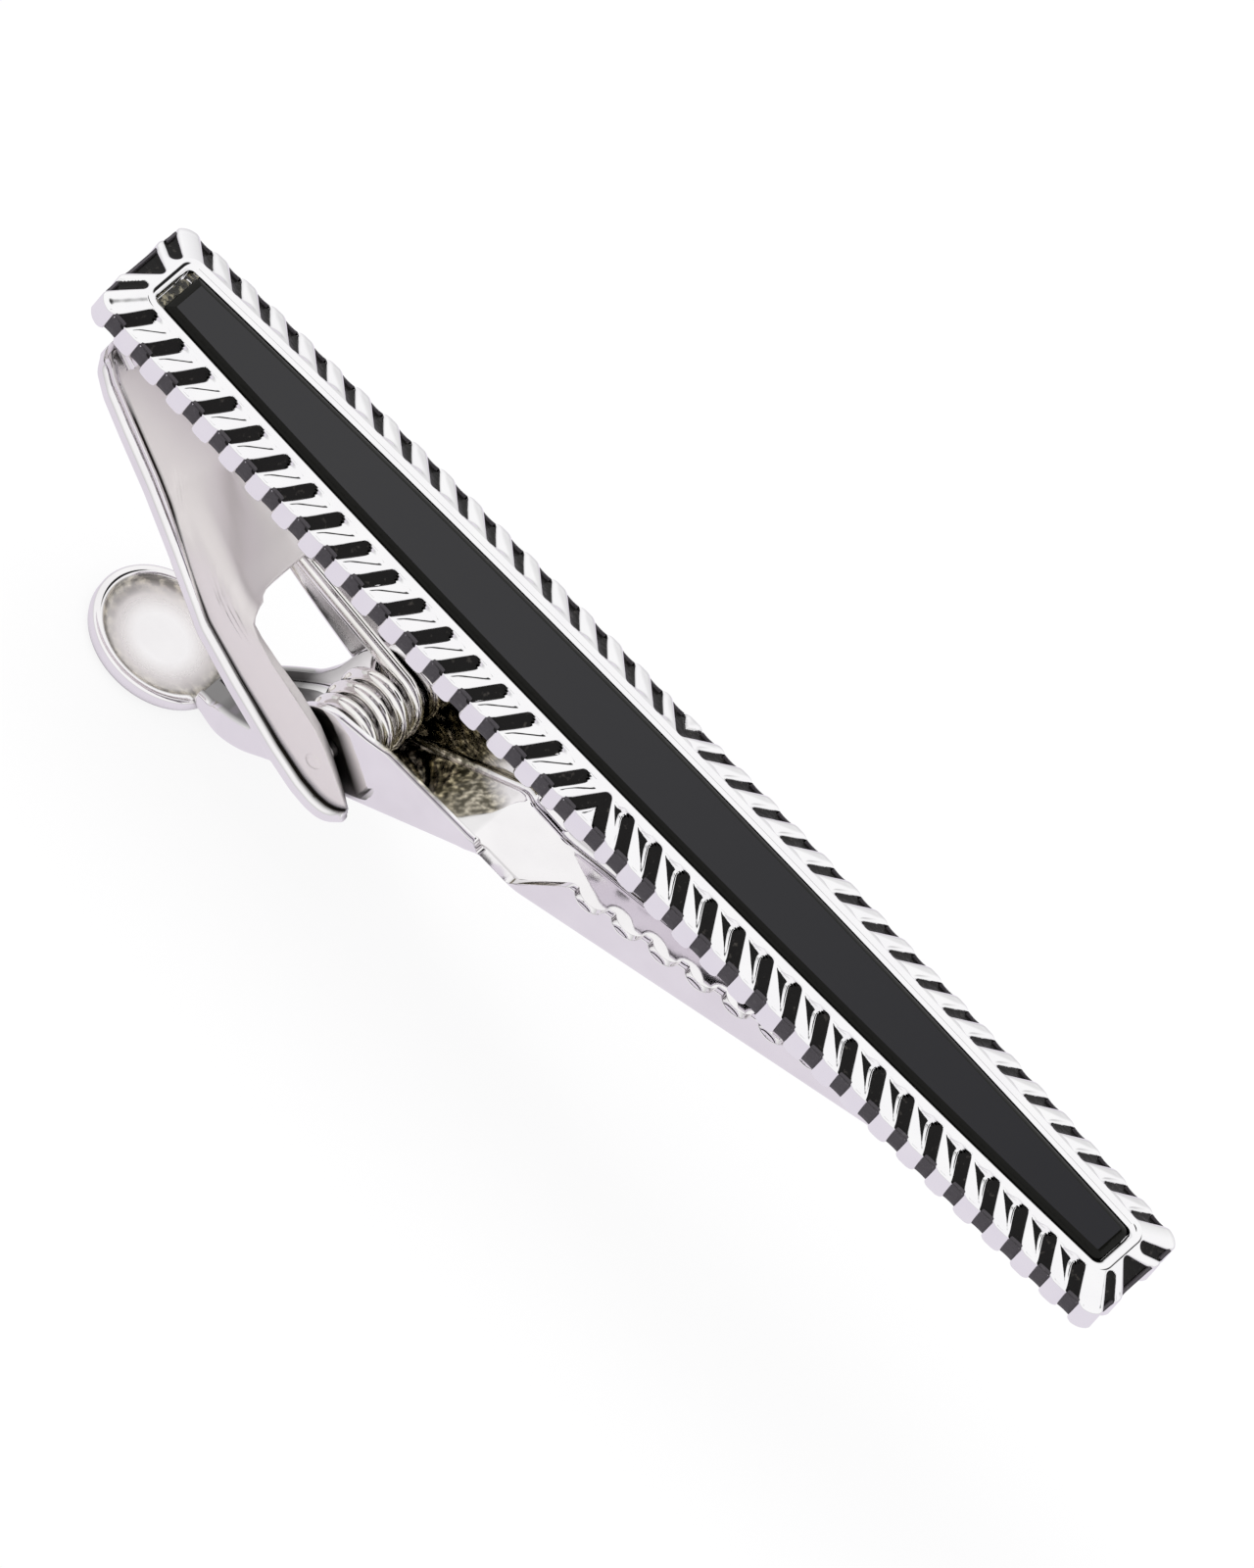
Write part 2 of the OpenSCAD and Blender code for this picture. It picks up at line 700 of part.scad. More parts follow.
// Scallops between the teeth
module tooth_cuts() {
    first = jaw_top_shares[len(jaw_top_shares) - 1];
    start = [first.x * jaw_len, first.y * pin_to_back];
    slope = (jaw_top_z - start.y) / (jaw_len - start.x);
    for (x = [start.x + tooth_first:tooth_pitch:jaw_len - tooth_r])
        translate([x, 0, start.y + (x - start.x) * slope + tooth_r - tooth_h])
            rotate([90, 0, 0])
                cylinder(r = tooth_r, h = 2 * cheek_w, center = true, $fn = round_fn);
}

// Oval ring of the paddle, drawn in by an inset
function paddle_ring(inset, z) = [
    for (i = [0:paddle_steps - 1]) let (a = -360 * i / paddle_steps)
        [paddle_x + (paddle_size.x / 2 - inset) * cos(a), (paddle_size.y / 2 - inset) * sin(a), z]
];

// Dished thumb paddle, open towards the neck
module paddle() {
    foot = -lever_drop;
    floor_z = foot + paddle_h / 2;
    difference() {
        loft([
            paddle_ring(paddle_edge, foot), paddle_ring(0, foot + paddle_edge),
            paddle_ring(0, foot + paddle_h - paddle_edge / 2),
            paddle_ring(paddle_edge / 2, foot + paddle_h)
        ]);
        loft([
            paddle_ring(2 * paddle_rim, floor_z), paddle_ring(paddle_rim, foot + paddle_h),
            paddle_ring(paddle_rim, foot + paddle_h + over)
        ]);
        translate([paddle_x, (jaw_t - neck_w) / 2, floor_z])
            cube([paddle_size.x, neck_w - jaw_t, paddle_h]);
    }
}

module jaw_lever() {
    color("gainsboro")
        translate([pin_x, 0, pin_z]) {
            difference() {
                loft([for (p = jaw_line()) at_x(jaw_section(p), p.x)], channel = true);
                jaw_profile();
                tooth_cuts();
                rotate([90, 0, 0])
                    cylinder(r = pin_r + pin_running, h = 2 * cheek_w, center = true, $fn = round_fn);
            }
            paddle();
        }
}

bar_frame();
edge_enamel();
inlay();
inlay_adhesive();
clip_arm();
solder_joint();
jaw_lever();
torsion_spring();
pivot_pin();
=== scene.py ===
import math

import bmesh
import bpy
import numpy as np
from mathutils import Matrix, Vector


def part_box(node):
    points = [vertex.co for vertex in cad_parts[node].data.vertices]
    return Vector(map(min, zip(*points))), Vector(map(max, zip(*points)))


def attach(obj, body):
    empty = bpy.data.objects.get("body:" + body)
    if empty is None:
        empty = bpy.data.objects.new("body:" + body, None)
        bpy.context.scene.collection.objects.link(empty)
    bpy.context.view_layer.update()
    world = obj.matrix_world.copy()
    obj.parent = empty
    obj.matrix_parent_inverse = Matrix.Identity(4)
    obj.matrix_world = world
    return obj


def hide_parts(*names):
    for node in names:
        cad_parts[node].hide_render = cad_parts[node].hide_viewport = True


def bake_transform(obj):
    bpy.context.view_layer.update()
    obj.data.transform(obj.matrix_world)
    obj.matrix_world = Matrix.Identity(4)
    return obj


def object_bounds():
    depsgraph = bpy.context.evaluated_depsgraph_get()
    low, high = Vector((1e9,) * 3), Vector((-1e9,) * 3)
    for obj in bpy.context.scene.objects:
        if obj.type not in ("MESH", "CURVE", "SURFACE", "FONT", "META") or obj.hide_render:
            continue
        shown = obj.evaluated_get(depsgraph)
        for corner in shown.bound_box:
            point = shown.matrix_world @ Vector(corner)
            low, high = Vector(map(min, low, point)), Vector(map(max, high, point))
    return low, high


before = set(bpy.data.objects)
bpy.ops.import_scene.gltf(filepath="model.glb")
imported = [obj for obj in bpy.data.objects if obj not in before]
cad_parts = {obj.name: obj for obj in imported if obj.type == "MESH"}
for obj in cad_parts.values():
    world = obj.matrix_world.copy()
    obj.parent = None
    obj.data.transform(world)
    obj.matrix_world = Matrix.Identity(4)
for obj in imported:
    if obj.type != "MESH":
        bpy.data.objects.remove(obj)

MM = 0.001
ROOT, JAW = "bar_body", "jaw_body"
cad_low, cad_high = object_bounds()


def cad_box(node):
    """Corners of a CAD node in millimetres."""
    low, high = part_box(node)
    return np.array(low) / MM, np.array(high) / MM


# ---- Materials ----

def new_material(name, base, metallic, roughness, coat=0.0):
    """A principled material; returns it with its node tree and shader."""
    m = bpy.data.materials.new(name)
    m.use_nodes = True
    tree = m.node_tree
    shader = tree.nodes["Principled BSDF"]
    shader.inputs["Base Color"].default_value = (*base, 1)
    shader.inputs["Metallic"].default_value = metallic
    shader.inputs["Roughness"].default_value = roughness
    shader.inputs["Coat Weight"].default_value = coat
    return m, tree, shader


def add_noise(tree, scale, detail=3.0, stretch=(1, 1, 1)):
    """A noise field in the part's frame; scale is in waves per millimetre."""
    where = tree.nodes.new("ShaderNodeTexCoord")
    mapping = tree.nodes.new("ShaderNodeMapping")
    mapping.inputs["Scale"].default_value = [s / MM for s in stretch]
    tree.links.new(where.outputs["Object"], mapping.inputs["Vector"])
    noise = tree.nodes.new("ShaderNodeTexNoise")
    noise.inputs["Scale"].default_value = scale
    noise.inputs["Detail"].default_value = detail
    tree.links.new(mapping.outputs["Vector"], noise.inputs["Vector"])
    return noise


def ramp(tree, source, low, high, start=0.0, end=1.0):
    """A colour ramp from low to high, driven by a field."""
    r = tree.nodes.new("ShaderNodeValToRGB")
    r.color_ramp.elements[0].position = start
    r.color_ramp.elements[1].position = end
    r.color_ramp.elements[0].color = (*low, 1)
    r.color_ramp.elements[1].color = (*high, 1)
    tree.links.new(source, r.inputs["Fac"])
    return r


def value_range(tree, source, low, high, start=0.0, end=1.0):
    """Maps a field's span from start to end onto the values from low to high."""
    m = tree.nodes.new("ShaderNodeMapRange")
    for key, value in (("From Min", start), ("From Max", end), ("To Min", low), ("To Max", high)):
        m.inputs[key].default_value = value
    tree.links.new(source, m.inputs["Value"])
    return m


def bump(tree, shader, source, height):
    """Surface relief of a height in millimetres."""
    b = tree.nodes.new("ShaderNodeBump")
    b.inputs["Strength"].default_value = 1.0
    b.inputs["Distance"].default_value = height * MM
    tree.links.new(source, b.inputs["Height"])
    tree.links.new(b.outputs["Normal"], shader.inputs["Normal"])


def painted(tree, name):
    """A field that paint() stored on the mesh."""
    node = tree.nodes.new("ShaderNodeAttribute")
    node.attribute_name = name
    return node.outputs["Fac"]


def mix_colour(tree, share, a, b):
    """Colour b over colour a; each is a socket or four numbers."""
    node = tree.nodes.new("ShaderNodeMix")
    node.data_type = "RGBA"
    tree.links.new(share, node.inputs["Factor"])
    for key, value in (("A", a), ("B", b)):
        socket = [i for i in node.inputs if i.name == key and i.type == "RGBA"][0]
        if isinstance(value, tuple):
            socket.default_value = value
        else:
            tree.links.new(value, socket)
    return [o for o in node.outputs if o.type == "RGBA"][0]


def add_up(tree, value, share, most):
    """value + share * most"""
    node = tree.nodes.new("ShaderNodeMath")
    node.operation = "MULTIPLY_ADD"
    node.inputs[1].default_value = most
    tree.links.new(share, node.inputs[0])
    tree.links.new(value, node.inputs[2])
    return node.outputs["Value"]


def paint(piece, name, field):
    """Stores a field on a mesh: the function gets the vertices in millimetres and gives 0 to 1 for each."""
    co = np.array([v.co for v in piece.data.vertices]) / MM
    values = np.clip(field(co), 0, 1).astype(np.float32)
    piece.data.attributes.new(name, "FLOAT", "POINT").data.foreach_set("value", values)


# Colours of the areas that paint() marks, and of the painted shade in crevices
SATIN = (0.82, 0.775, 0.765, 1)
# Speckled painted shade: dark olive to pale tan specks
SHADE_SPECK_DARK, SHADE_SPECK_LIGHT = (0.12, 0.11, 0.08), (0.85, 0.79, 0.64)
# Near-black painted shade
SHADE_BLACK = (0.012, 0.01, 0.008, 1)
# Near-black of the painted shade in crevices
CREVICE_SHADE = (0.02, 0.017, 0.011, 1)
SATIN_ROUGHER, SATIN_METALLIC = 0.3, 0.5


def plated(name, base, shade, roughness, wave, relief, crevice=0.0, areas=False):
    """Polished plate: soft unevenness from casting or stamping, faint cloudiness, and painted shade in crevices.

    With areas it also shows the fields that paint() stores on the mesh: a satin finish, a speckled painted shade and a
    near-black painted shade.
    """
    m, tree, shader = new_material(name, base, 1.0, roughness)
    cloud = add_noise(tree, wave)
    colour = ramp(tree, cloud.outputs["Fac"], shade, base, 0.3, 0.7).outputs["Color"]
    haze = value_range(tree, add_noise(tree, wave * 3).outputs["Fac"], roughness * 0.7, roughness * 1.4)
    rough = haze.outputs["Result"]
    if areas:
        colour = mix_colour(tree, painted(tree, "satin"), colour, SATIN)
        rough = add_up(tree, rough, painted(tree, "satin"), SATIN_ROUGHER)
        tree.links.new(value_range(tree, painted(tree, "satin"), 1.0, SATIN_METALLIC).outputs["Result"],
                       shader.inputs["Metallic"])
        # Speckled painted shade where paint() marks it
        blotches = add_noise(tree, 2.2, 5.0, (1, 1, 2.5))
        specks = ramp(tree, blotches.outputs["Fac"], SHADE_SPECK_DARK, SHADE_SPECK_LIGHT, 0.43, 0.68)
        colour = mix_colour(tree, painted(tree, "speckled_shade"), colour, specks.outputs["Color"])
        # Near-black painted shade where paint() marks it
        colour = mix_colour(tree, painted(tree, "crease"), colour, SHADE_BLACK)
    if crevice:
        # Painted shade in crevices: the colour goes to near-black where ambient occlusion finds close surfaces
        depth = tree.nodes.new("ShaderNodeAmbientOcclusion")
        depth.samples = 5
        depth.inputs["Distance"].default_value = crevice * MM
        crevice_shade = ramp(tree, depth.outputs["AO"], (1, 1, 1), (0, 0, 0), 0.12, 0.7)
        colour = mix_colour(tree, crevice_shade.outputs["Color"], colour, CREVICE_SHADE)
    tree.links.new(colour, shader.inputs["Base Color"])
    tree.links.new(rough, shader.inputs["Roughness"])
    bump(tree, shader, add_noise(tree, wave * 1.5, 2.0).outputs["Fac"], relief)
    return m


bar_metal = plated("bar_metal", (0.97, 0.965, 0.97), (0.94, 0.93, 0.95), 0.05, 0.6, 0.004)
# clip_metal and wire_metal darken their crevices with painted shade
clip_metal = plated("clip_metal", (0.95, 0.935, 0.94), (0.89, 0.87, 0.88), 0.06, 0.4, 0.008, 0.9, True)
wire_metal = plated("wire_metal", (0.96, 0.95, 0.93), (0.88, 0.86, 0.83), 0.07, 1.0, 0.004, 0.3)
solder_metal = plated("solder_metal", (0.72, 0.71, 0.72), (0.6, 0.59, 0.6), 0.3, 1.2, 0.03)


def enamel(name, base, specks, roughness, specular):
    """Opaque enamel with pits and specks left by the wiping."""
    m, tree, shader = new_material(name, base, 0.0, roughness)
    shader.inputs["Specular IOR Level"].default_value = specular
    pits = add_noise(tree, 4.0, 4.0)
    colour = ramp(tree, pits.outputs["Fac"], base, specks, 0.6, 0.78)
    tree.links.new(colour.outputs["Color"], shader.inputs["Base Color"])
    bump(tree, shader, pits.outputs["Fac"], 0.03)
    return m


# Two copies of one enamel, toned by where light falls: painted shade makes the slope's copy near-black, painted light
# makes the side wall's copy dark grey
enamel_top = enamel("enamel_top", (0.006, 0.0055, 0.0055), (0.05, 0.045, 0.04), 0.2, 0.12)
enamel_side = enamel("enamel_side", (0.055, 0.05, 0.056), (0.085, 0.08, 0.085), 0.4, 0.25)

# Slab: a little paler towards the fold's end, with a mottled polish
inlay_black, tree, shader = new_material("inlay_black", (0.022, 0.022, 0.024), 0.0, 0.22)
shader.inputs["Specular IOR Level"].default_value = 0.2
where = tree.nodes.new("ShaderNodeTexCoord")
parts = tree.nodes.new("ShaderNodeSeparateXYZ")
tree.links.new(where.outputs["Object"], parts.inputs["Vector"])
across = value_range(tree, parts.outputs["X"], 0.0, 1.0, -20 * MM, 28 * MM)
shift = add_up(tree, across.outputs["Result"], add_noise(tree, 0.25, 4.0).outputs["Fac"], 0.08)
colour = ramp(tree, shift, (0.026, 0.026, 0.0275), (0.0115, 0.0115, 0.014), 0.1, 1.0)
tree.links.new(colour.outputs["Color"], shader.inputs["Base Color"])
polish = value_range(tree, add_noise(tree, 6.0, 4.0).outputs["Fac"], 0.18, 0.27)
tree.links.new(polish.outputs["Result"], shader.inputs["Roughness"])

# A darker copy of the slab's material for its sides and rounded edge: painted shade along the slab's edge
inlay_edge_shade, tree, shader = new_material("inlay_edge_shade", (0.005, 0.005, 0.004), 0.0, 0.15)
shader.inputs["Specular IOR Level"].default_value = 0.12
bump(tree, shader, add_noise(tree, 3.0, 2.0).outputs["Fac"], 0.01)

glue_amber, tree, shader = new_material("glue_amber", (0.1, 0.09, 0.05), 0.0, 0.2, 0.3)
crumbs = add_noise(tree, 4.0, 5.0)
colour = ramp(tree, crumbs.outputs["Fac"], (0.012, 0.01, 0.005), (0.55, 0.5, 0.34), 0.5, 0.68)
tree.links.new(colour.outputs["Color"], shader.inputs["Base Color"])
bump(tree, shader, crumbs.outputs["Fac"], 0.1)


# ---- Meshes ----

WELD = 0.0008


def add_mesh(name, verts, faces, material, body, replaces=(), crease=40, closed=True):
    """Adds a smooth-shaded piece from points in millimetres; edges above the crease angle stay sharp.

    A closed piece also has its last holes filled and its faces turned outward.
    """
    mesh = bpy.data.meshes.new(name)
    mesh.from_pydata((np.asarray(verts, float) * MM).tolist(), [], faces)
    shape = bmesh.new()
    shape.from_mesh(mesh)
    bmesh.ops.remove_doubles(shape, verts=shape.verts, dist=WELD * MM)
    if closed:
        bmesh.ops.holes_fill(shape, edges=[e for e in shape.edges if len(e.link_faces) == 1], sides=0)
        bmesh.ops.recalc_face_normals(shape, faces=shape.faces)
        if shape.calc_volume(signed=True) < 0:
            bmesh.ops.reverse_faces(shape, faces=shape.faces)
    shape.to_mesh(mesh)
    shape.free()
    mesh.validate()
    mesh.materials.append(material)
    mesh.shade_smooth()
    mesh.set_sharp_from_angle(angle=math.radians(crease))
    piece = bpy.data.objects.new(name, mesh)
    bpy.context.collection.objects.link(piece)
    if body:
        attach(piece, body)
    if replaces:
        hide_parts(*replaces)
    return piece


def grid_faces(rows, cols, loop_cols=False, flip=False, base=0):
    """Quads of a grid whose vertices are numbered row by row."""
    faces = []
    for i in range(rows - 1):
        for j in range(cols if loop_cols else cols - 1):
            a, b = i * cols + j, i * cols + (j + 1) % cols
            c, d = (i + 1) * cols + (j + 1) % cols, (i + 1) * cols + j
            face = [base + a, base + b, base + c, base + d]
            faces.append(face[::-1] if flip else face)
    return faces


def unit(v):
    """Vectors brought to length 1."""
    return v / np.maximum(np.linalg.norm(v, axis=-1, keepdims=True), 1e-12)


# ---- Bar: frame, notched border and enamel ----

bar_low, bar_high = cad_box("bar_frame")
HALF_LEN = bar_high[0]
MID_W = bar_high[1] - bar_low[1]
THICK = bar_high[2] - bar_low[2]
END_W = 6.1
CORNER_R = 0.9
FALL = 0.5
FRAME_MID_W, FRAME_END_W, FRAME_TIP_W = 2.1, 1.85, 1.7
RIM_W, BEZEL_W, BEZEL_H = 0.3, 0.2, 0.15
POCKET_R, POCKET_DEPTH = 0.3, 0.8
RIM_EDGE = RIM_W + BEZEL_W
POCKET_LEN = 2 * (HALF_LEN - FRAME_TIP_W)
POCKET_MID_W = MID_W - 2 * FRAME_MID_W
POCKET_END_W = END_W - 2 * FRAME_END_W
RIM_HALF = POCKET_LEN / 2 + RIM_EDGE
RIM_MID_W = POCKET_MID_W + 2 * RIM_EDGE
RIM_END_W = POCKET_END_W + 2 * RIM_EDGE
RIM_R = POCKET_R + RIM_EDGE

# Notches: distance from one to the next, first one from the bar's middle, width, lean, land inside them, depth
PITCH, FIRST, SLOT_W = 1.60, 1.31, 0.52
LEAN, END_MIDDLE_LEAN, END_LEAN = math.radians(34), math.radians(38), math.radians(45)
LAND = 0.05
SLOT_R = SLOT_W / 2
GROOVE = 0.55
SIDE_SLOTS = 17
END_SLOT_SHARE = 0.39
# Strands between them: slope of the hollow, height of the ring that it leaves round the next notch
HOLLOW_SLOPE, RING = 0.32, 0.08
# Left and right of the bar's middle: how far the hollow widens towards the edge, its softness, its run-in at the rim
HOLLOW_WIDENS, HOLLOW_SOFT, HOLLOW_RUN_IN = (0.82, 0.85), (0.1, 0.045), (0.16, 0.035)
# Width of the notches' walls, where the mesh's lines lean with them and where they don't
WALL, LOOSE_WALL, LOOSE_HALF = 0.002, 0.07, 0.6
# Depth of the enamel below the lip, and of its hollow middle
ENAMEL_SET, ENAMEL_BOWL = 0.012, 0.02
ENAMEL_T = 0.12


def bowed(x, half, mid_w, end_w):
    """Half the width at x of a plate with bowed sides."""
    return (mid_w - (mid_w - end_w) * (x / half) ** 2) / 2


def quarter_outline(t, half, mid_w, end_w, r):
    """Point on a quarter of a bowed plate: t 0 to 1 along the side, 1 to 2 round the corner, 2 to 3 along the end."""
    if t <= 1:
        x = t * (half - r)
        return np.array([x, bowed(x, half, mid_w, end_w)])
    y = bowed(half - r, half, mid_w, end_w) - r
    if t <= 2:
        a = (2 - t) * math.pi / 2
        return np.array([half - r + r * math.cos(a), y + r * math.sin(a)])
    return np.array([half, (3 - t) * y])


def rim_point(t):
    return quarter_outline(t, RIM_HALF, RIM_MID_W, RIM_END_W, RIM_R)


def outer_point(t):
    return quarter_outline(t, HALF_LEN, MID_W, END_W, CORNER_R)


def rim_half(x):
    return bowed(x, RIM_HALF, RIM_MID_W, RIM_END_W)


# Inner ends and directions of the notches in one quarter
slots = []
for x in [0.0] + [FIRST + k * PITCH for k in range(SIDE_SLOTS)]:
    slots.append(((x, rim_half(x) + LAND + SLOT_R), (math.sin(LEAN), math.cos(LEAN))))
end_x = RIM_HALF + LAND + SLOT_R
END_MIDDLE = len(slots)
slots.append(((end_x, 0.0), (math.cos(END_MIDDLE_LEAN), math.sin(END_MIDDLE_LEAN))))
slots.append(((end_x, END_SLOT_SHARE * END_W / 2), (math.cos(END_LEAN), math.sin(END_LEAN))))
starts = np.array([s[0] for s in slots])
aims = np.array([s[1] for s in slots])


def slot_distance(points):
    """Distance in plan from each point to the nearest notch's middle line, 0 in the wedge at an end's middle."""
    p = np.abs(points)[..., None, :] - starts
    along = np.maximum((p * aims).sum(-1), 0)
    near = np.linalg.norm(p - along[..., None] * aims, axis=-1).min(-1)
    wedge = p[..., END_MIDDLE, :]
    return np.where(wedge[..., 1] < wedge[..., 0] * math.tan(END_MIDDLE_LEAN), 0, near)


# Lines across the border: pairs of (rim parameter, outer parameter), leaning as the notches do
side_scale_rim, side_scale_out = RIM_HALF - RIM_R, HALF_LEN - CORNER_R


def leaning_line(x):
    """Line through x at the level of the notches' inner ends."""
    gap = bowed(x, HALF_LEN, MID_W, END_W) - rim_half(x)
    x_rim = x - (LAND + SLOT_R) * math.tan(LEAN)
    x_out = x + (gap - LAND - SLOT_R) * math.tan(LEAN)
    return x_rim / side_scale_rim, x_out / side_scale_out


# Distances of the lines from a notch's middle
offsets = np.array([0, 0.15, 0.25, 0.3, 0.3146, 0.33, 0.35, 0.38, 0.42, 0.46, 0.485, 0.51, 0.535, 0.56,
                    0.6, 0.65, 0.71, 0.76])
lines = []
first_line = leaning_line(FIRST - PITCH / 2 + 0.12)
FAN_LINES, TAIL_LINES = 44, 190
for k in range(FAN_LINES):
    lines.append((first_line[0] * k / FAN_LINES, first_line[1] * k / FAN_LINES))
for n in range(SIDE_SLOTS):
    centre = FIRST + n * PITCH
    left = -offsets[::-1][:-1] if n else -offsets[offsets < 0.66][::-1][:-1]  # the fan takes up the rest
    for o in np.concatenate([left, offsets, [PITCH / 2]]):
        lines.append(leaning_line(centre + o))
last = lines[-1]
for k in range(1, TAIL_LINES + 1):
    s = k / TAIL_LINES
    lines.append((last[0] + (3 - last[0]) * s, last[1] + (3 - last[1]) * s))
lines = np.array(lines)

rim_q = np.array([rim_point(min(t, 3)) for t in lines[:, 0]])
out_q = np.array([outer_point(min(t, 3)) for t in lines[:, 1]])


def loop_of(q):
    """Whole closed outline from one quarter's points, clockwise from the middle of the far side."""
    right_low = q[::-1][1:] * [1, -1]
    left_low = q[1:] * [-1, -1]
    left_high = q[::-1][1:-1] * [-1, 1]
    return np.concatenate([q, right_low, left_low, left_high])


def outward(loop):
    """Unit normals of a clockwise loop, pointing out."""
    tangent = unit(np.roll(loop, -1, 0) - np.roll(loop, 1, 0))
    return np.stack([-tangent[:, 1], tangent[:, 0]], -1)


rim, outer = loop_of(rim_q), loop_of(out_q)
rim_n, outer_n = outward(rim), outward(outer)
count = len(rim)


def lip_depth(d, rx, ry, wall):
    """Depth of the metal at a distance from a notch's middle line: a rounded lip, then the notch's wall."""
    s = np.clip((SLOT_R + rx - d) / rx, 0, 1)
    lip = ry * (1 - np.sqrt(np.maximum(1 - s * s, 0)))
    return lip + (GROOVE - lip) * np.clip((SLOT_R - WALL - d) / wall, 0, 1)


def hollow(plan, in_notch):
    """Depth of the hollow that each strand has beside its front notch, and of the enamel next to it."""
    # Place in the border: w from the rim to the edge, start where the leaning line meets the notches' inner ends
    ax, ay = np.abs(plan[:, 0]), np.abs(plan[:, 1])
    gap = ay - rim_half(ax)
    w = np.clip(gap / (bowed(ax, HALF_LEN, MID_W, END_W) - rim_half(ax)), 0, 1)
    start = ax - (gap - LAND - SLOT_R) * math.tan(LEAN)
    # Strand n, and the distance p across it from its rear notch
    n = (start - FIRST) / PITCH
    n = np.floor(n + 0.5) - 1 if in_notch else np.floor(n)
    rear = np.where(n < 0, 0, FIRST + n * PITCH)
    span = np.where(n < 0, FIRST, PITCH) * math.cos(LEAN) - SLOT_W
    p = span if in_notch else np.clip((start - rear) * math.cos(LEAN) - SLOT_R, 0, span)
    left = plan[:, 0] < 0
    past = p - span * np.where(left, *HOLLOW_WIDENS) * w
    soft = np.where(left, *HOLLOW_SOFT)
    fall = np.where(past < 2 * soft, np.maximum(past, 0) ** 2 / (4 * soft), past - soft)
    # The hollow begins a little way out from the rim, along a lobe
    lobe = 0.02 + 0.07 * np.sin(math.pi * (p / span) ** 0.8)
    s = np.clip((w - lobe) / np.where(left, *HOLLOW_RUN_IN), 0, 1)
    inside = (start > 0) & (n > -2) & (n < SIDE_SLOTS - 1) & (gap > 0)
    slope = np.where(plan[:, 1] > 0, 0.5, 1) * HOLLOW_SLOPE
    depth = np.where(inside, slope * fall * s * s * (3 - 2 * s), 0)
    if in_notch:
        across = (start - FIRST - (n + 1) * PITCH) * math.cos(LEAN)
        return np.maximum(depth - RING * (plan[:, 0] > 0), 0) * np.clip(0.5 - across / (2 * SLOT_R), 0, 1)
    return depth


rows, enamel_rows = [], []


def add_row(base, z, down, rx=None, ry=None, plan=None):
    """One row of the border: base points, height, direction of depth, and the lip's rounding there."""
    points = np.column_stack([base, np.full(count, z)])
    if rx is None:
        rows.append(points)
        return
    plan = base if plan is None else plan
    d = slot_distance(plan)
    dip = hollow(plan, False)
    ring = np.interp(d - SLOT_R, [0, 0.13, 0.2], [1, 0.5, 0]) * (plan[:, 0] > 0)
    dip = np.where(d < SLOT_R - WALL, 0, dip - np.minimum(dip, RING) * ring)
    wall = np.where(np.abs(plan[:, 0]) < LOOSE_HALF, LOOSE_WALL, WALL)
    rows.append(points + down * (lip_depth(d, rx, ry, wall) + dip)[:, None])
    bowl = ENAMEL_BOWL * (1 - np.clip(d / SLOT_R, 0, 1) ** 2)
    enamel_rows.append((points + down * (ry + ENAMEL_SET + bowl + hollow(plan, True))[:, None], d))


# Pocket's wall, bezel and flat rim
flat = np.tile([0.0, 0.0, -1.0], (count, 1))
for offset, z in [(-RIM_EDGE, -POCKET_DEPTH), (-RIM_EDGE, -BEZEL_H - 0.02), (-RIM_EDGE + 0.012, -BEZEL_H + 0.01),
                  (-RIM_W - 0.04, -0.03), (-RIM_W + 0.04, 0.0), (-0.04, 0.0), (0.0, -0.006)]:
    add_row(rim + rim_n * offset, z, flat)
# Slope of the border, where the lips' rounding grows outwards, then the rounded edge, the side wall and the back
steps = [0.015, 0.03, 0.045, 0.06, 0.075, 0.09, 0.105, 0.12, 0.14, 0.165, 0.195, 0.23, 0.27, 0.32, 0.37, 0.43, 0.5,
         0.57, 0.65, 0.74, 0.84, 0.93]
EDGE_R = 0.14
EDGE_LIP, SIDE_LIP = (0.3, 0.2), (0.3, 0.22)
top_w = (MID_W - RIM_MID_W) / 2
to_edge = (outer - rim) / ((outer - rim) * outer_n).sum(-1, keepdims=True)
for w in steps:
    slope = np.column_stack([outer_n * -FALL, np.full(count, -top_w)])
    base = rim + (outer - to_edge * EDGE_R - rim) * w
    add_row(base, -0.008 - (FALL - 0.008) * w, unit(slope), 0.05 + 0.25 * w, 0.035 + 0.11 * w)
for k in range(5):
    a = math.radians(20 + 70 * k / 4)
    down = np.column_stack([-outer_n * math.sin(a), np.full(count, -math.cos(a))])
    base = outer - to_edge * EDGE_R * (1 - math.sin(a))
    add_row(base, -FALL - EDGE_R * (1 - math.cos(a)), down, *EDGE_LIP, outer)
side = np.column_stack([-outer_n, np.zeros(count)])
for z in np.linspace(-FALL - EDGE_R - 0.1, -THICK + 0.1, 5):
    add_row(outer, z, side, *SIDE_LIP, outer)
add_row(outer - outer_n * 0.03, -THICK + 0.03, side, *SIDE_LIP, outer)
add_row(outer - outer_n * 0.1, -THICK, side, *SIDE_LIP, outer)
for inset in (0.8, 1.8):
    add_row(outer - outer_n * inset, -THICK, flat)

verts = np.concatenate(rows)
faces = grid_faces(len(rows), count, loop_cols=True)
last_row = (len(rows) - 1) * count
for k in range(1, count // 2):
    faces.append([last_row + k - 1, last_row + k, last_row + (count - k) % count, last_row + (count - k + 1) % count])
# Pocket's floor
verts = np.concatenate([verts, [[0, 0, -POCKET_DEPTH]]])
hub = len(verts) - 1
for k in range(count):
    faces.append([(k + 1) % count, k, hub])
add_mesh("bar_shell", verts, faces, bar_metal, ROOT, ["bar_frame"], 50)

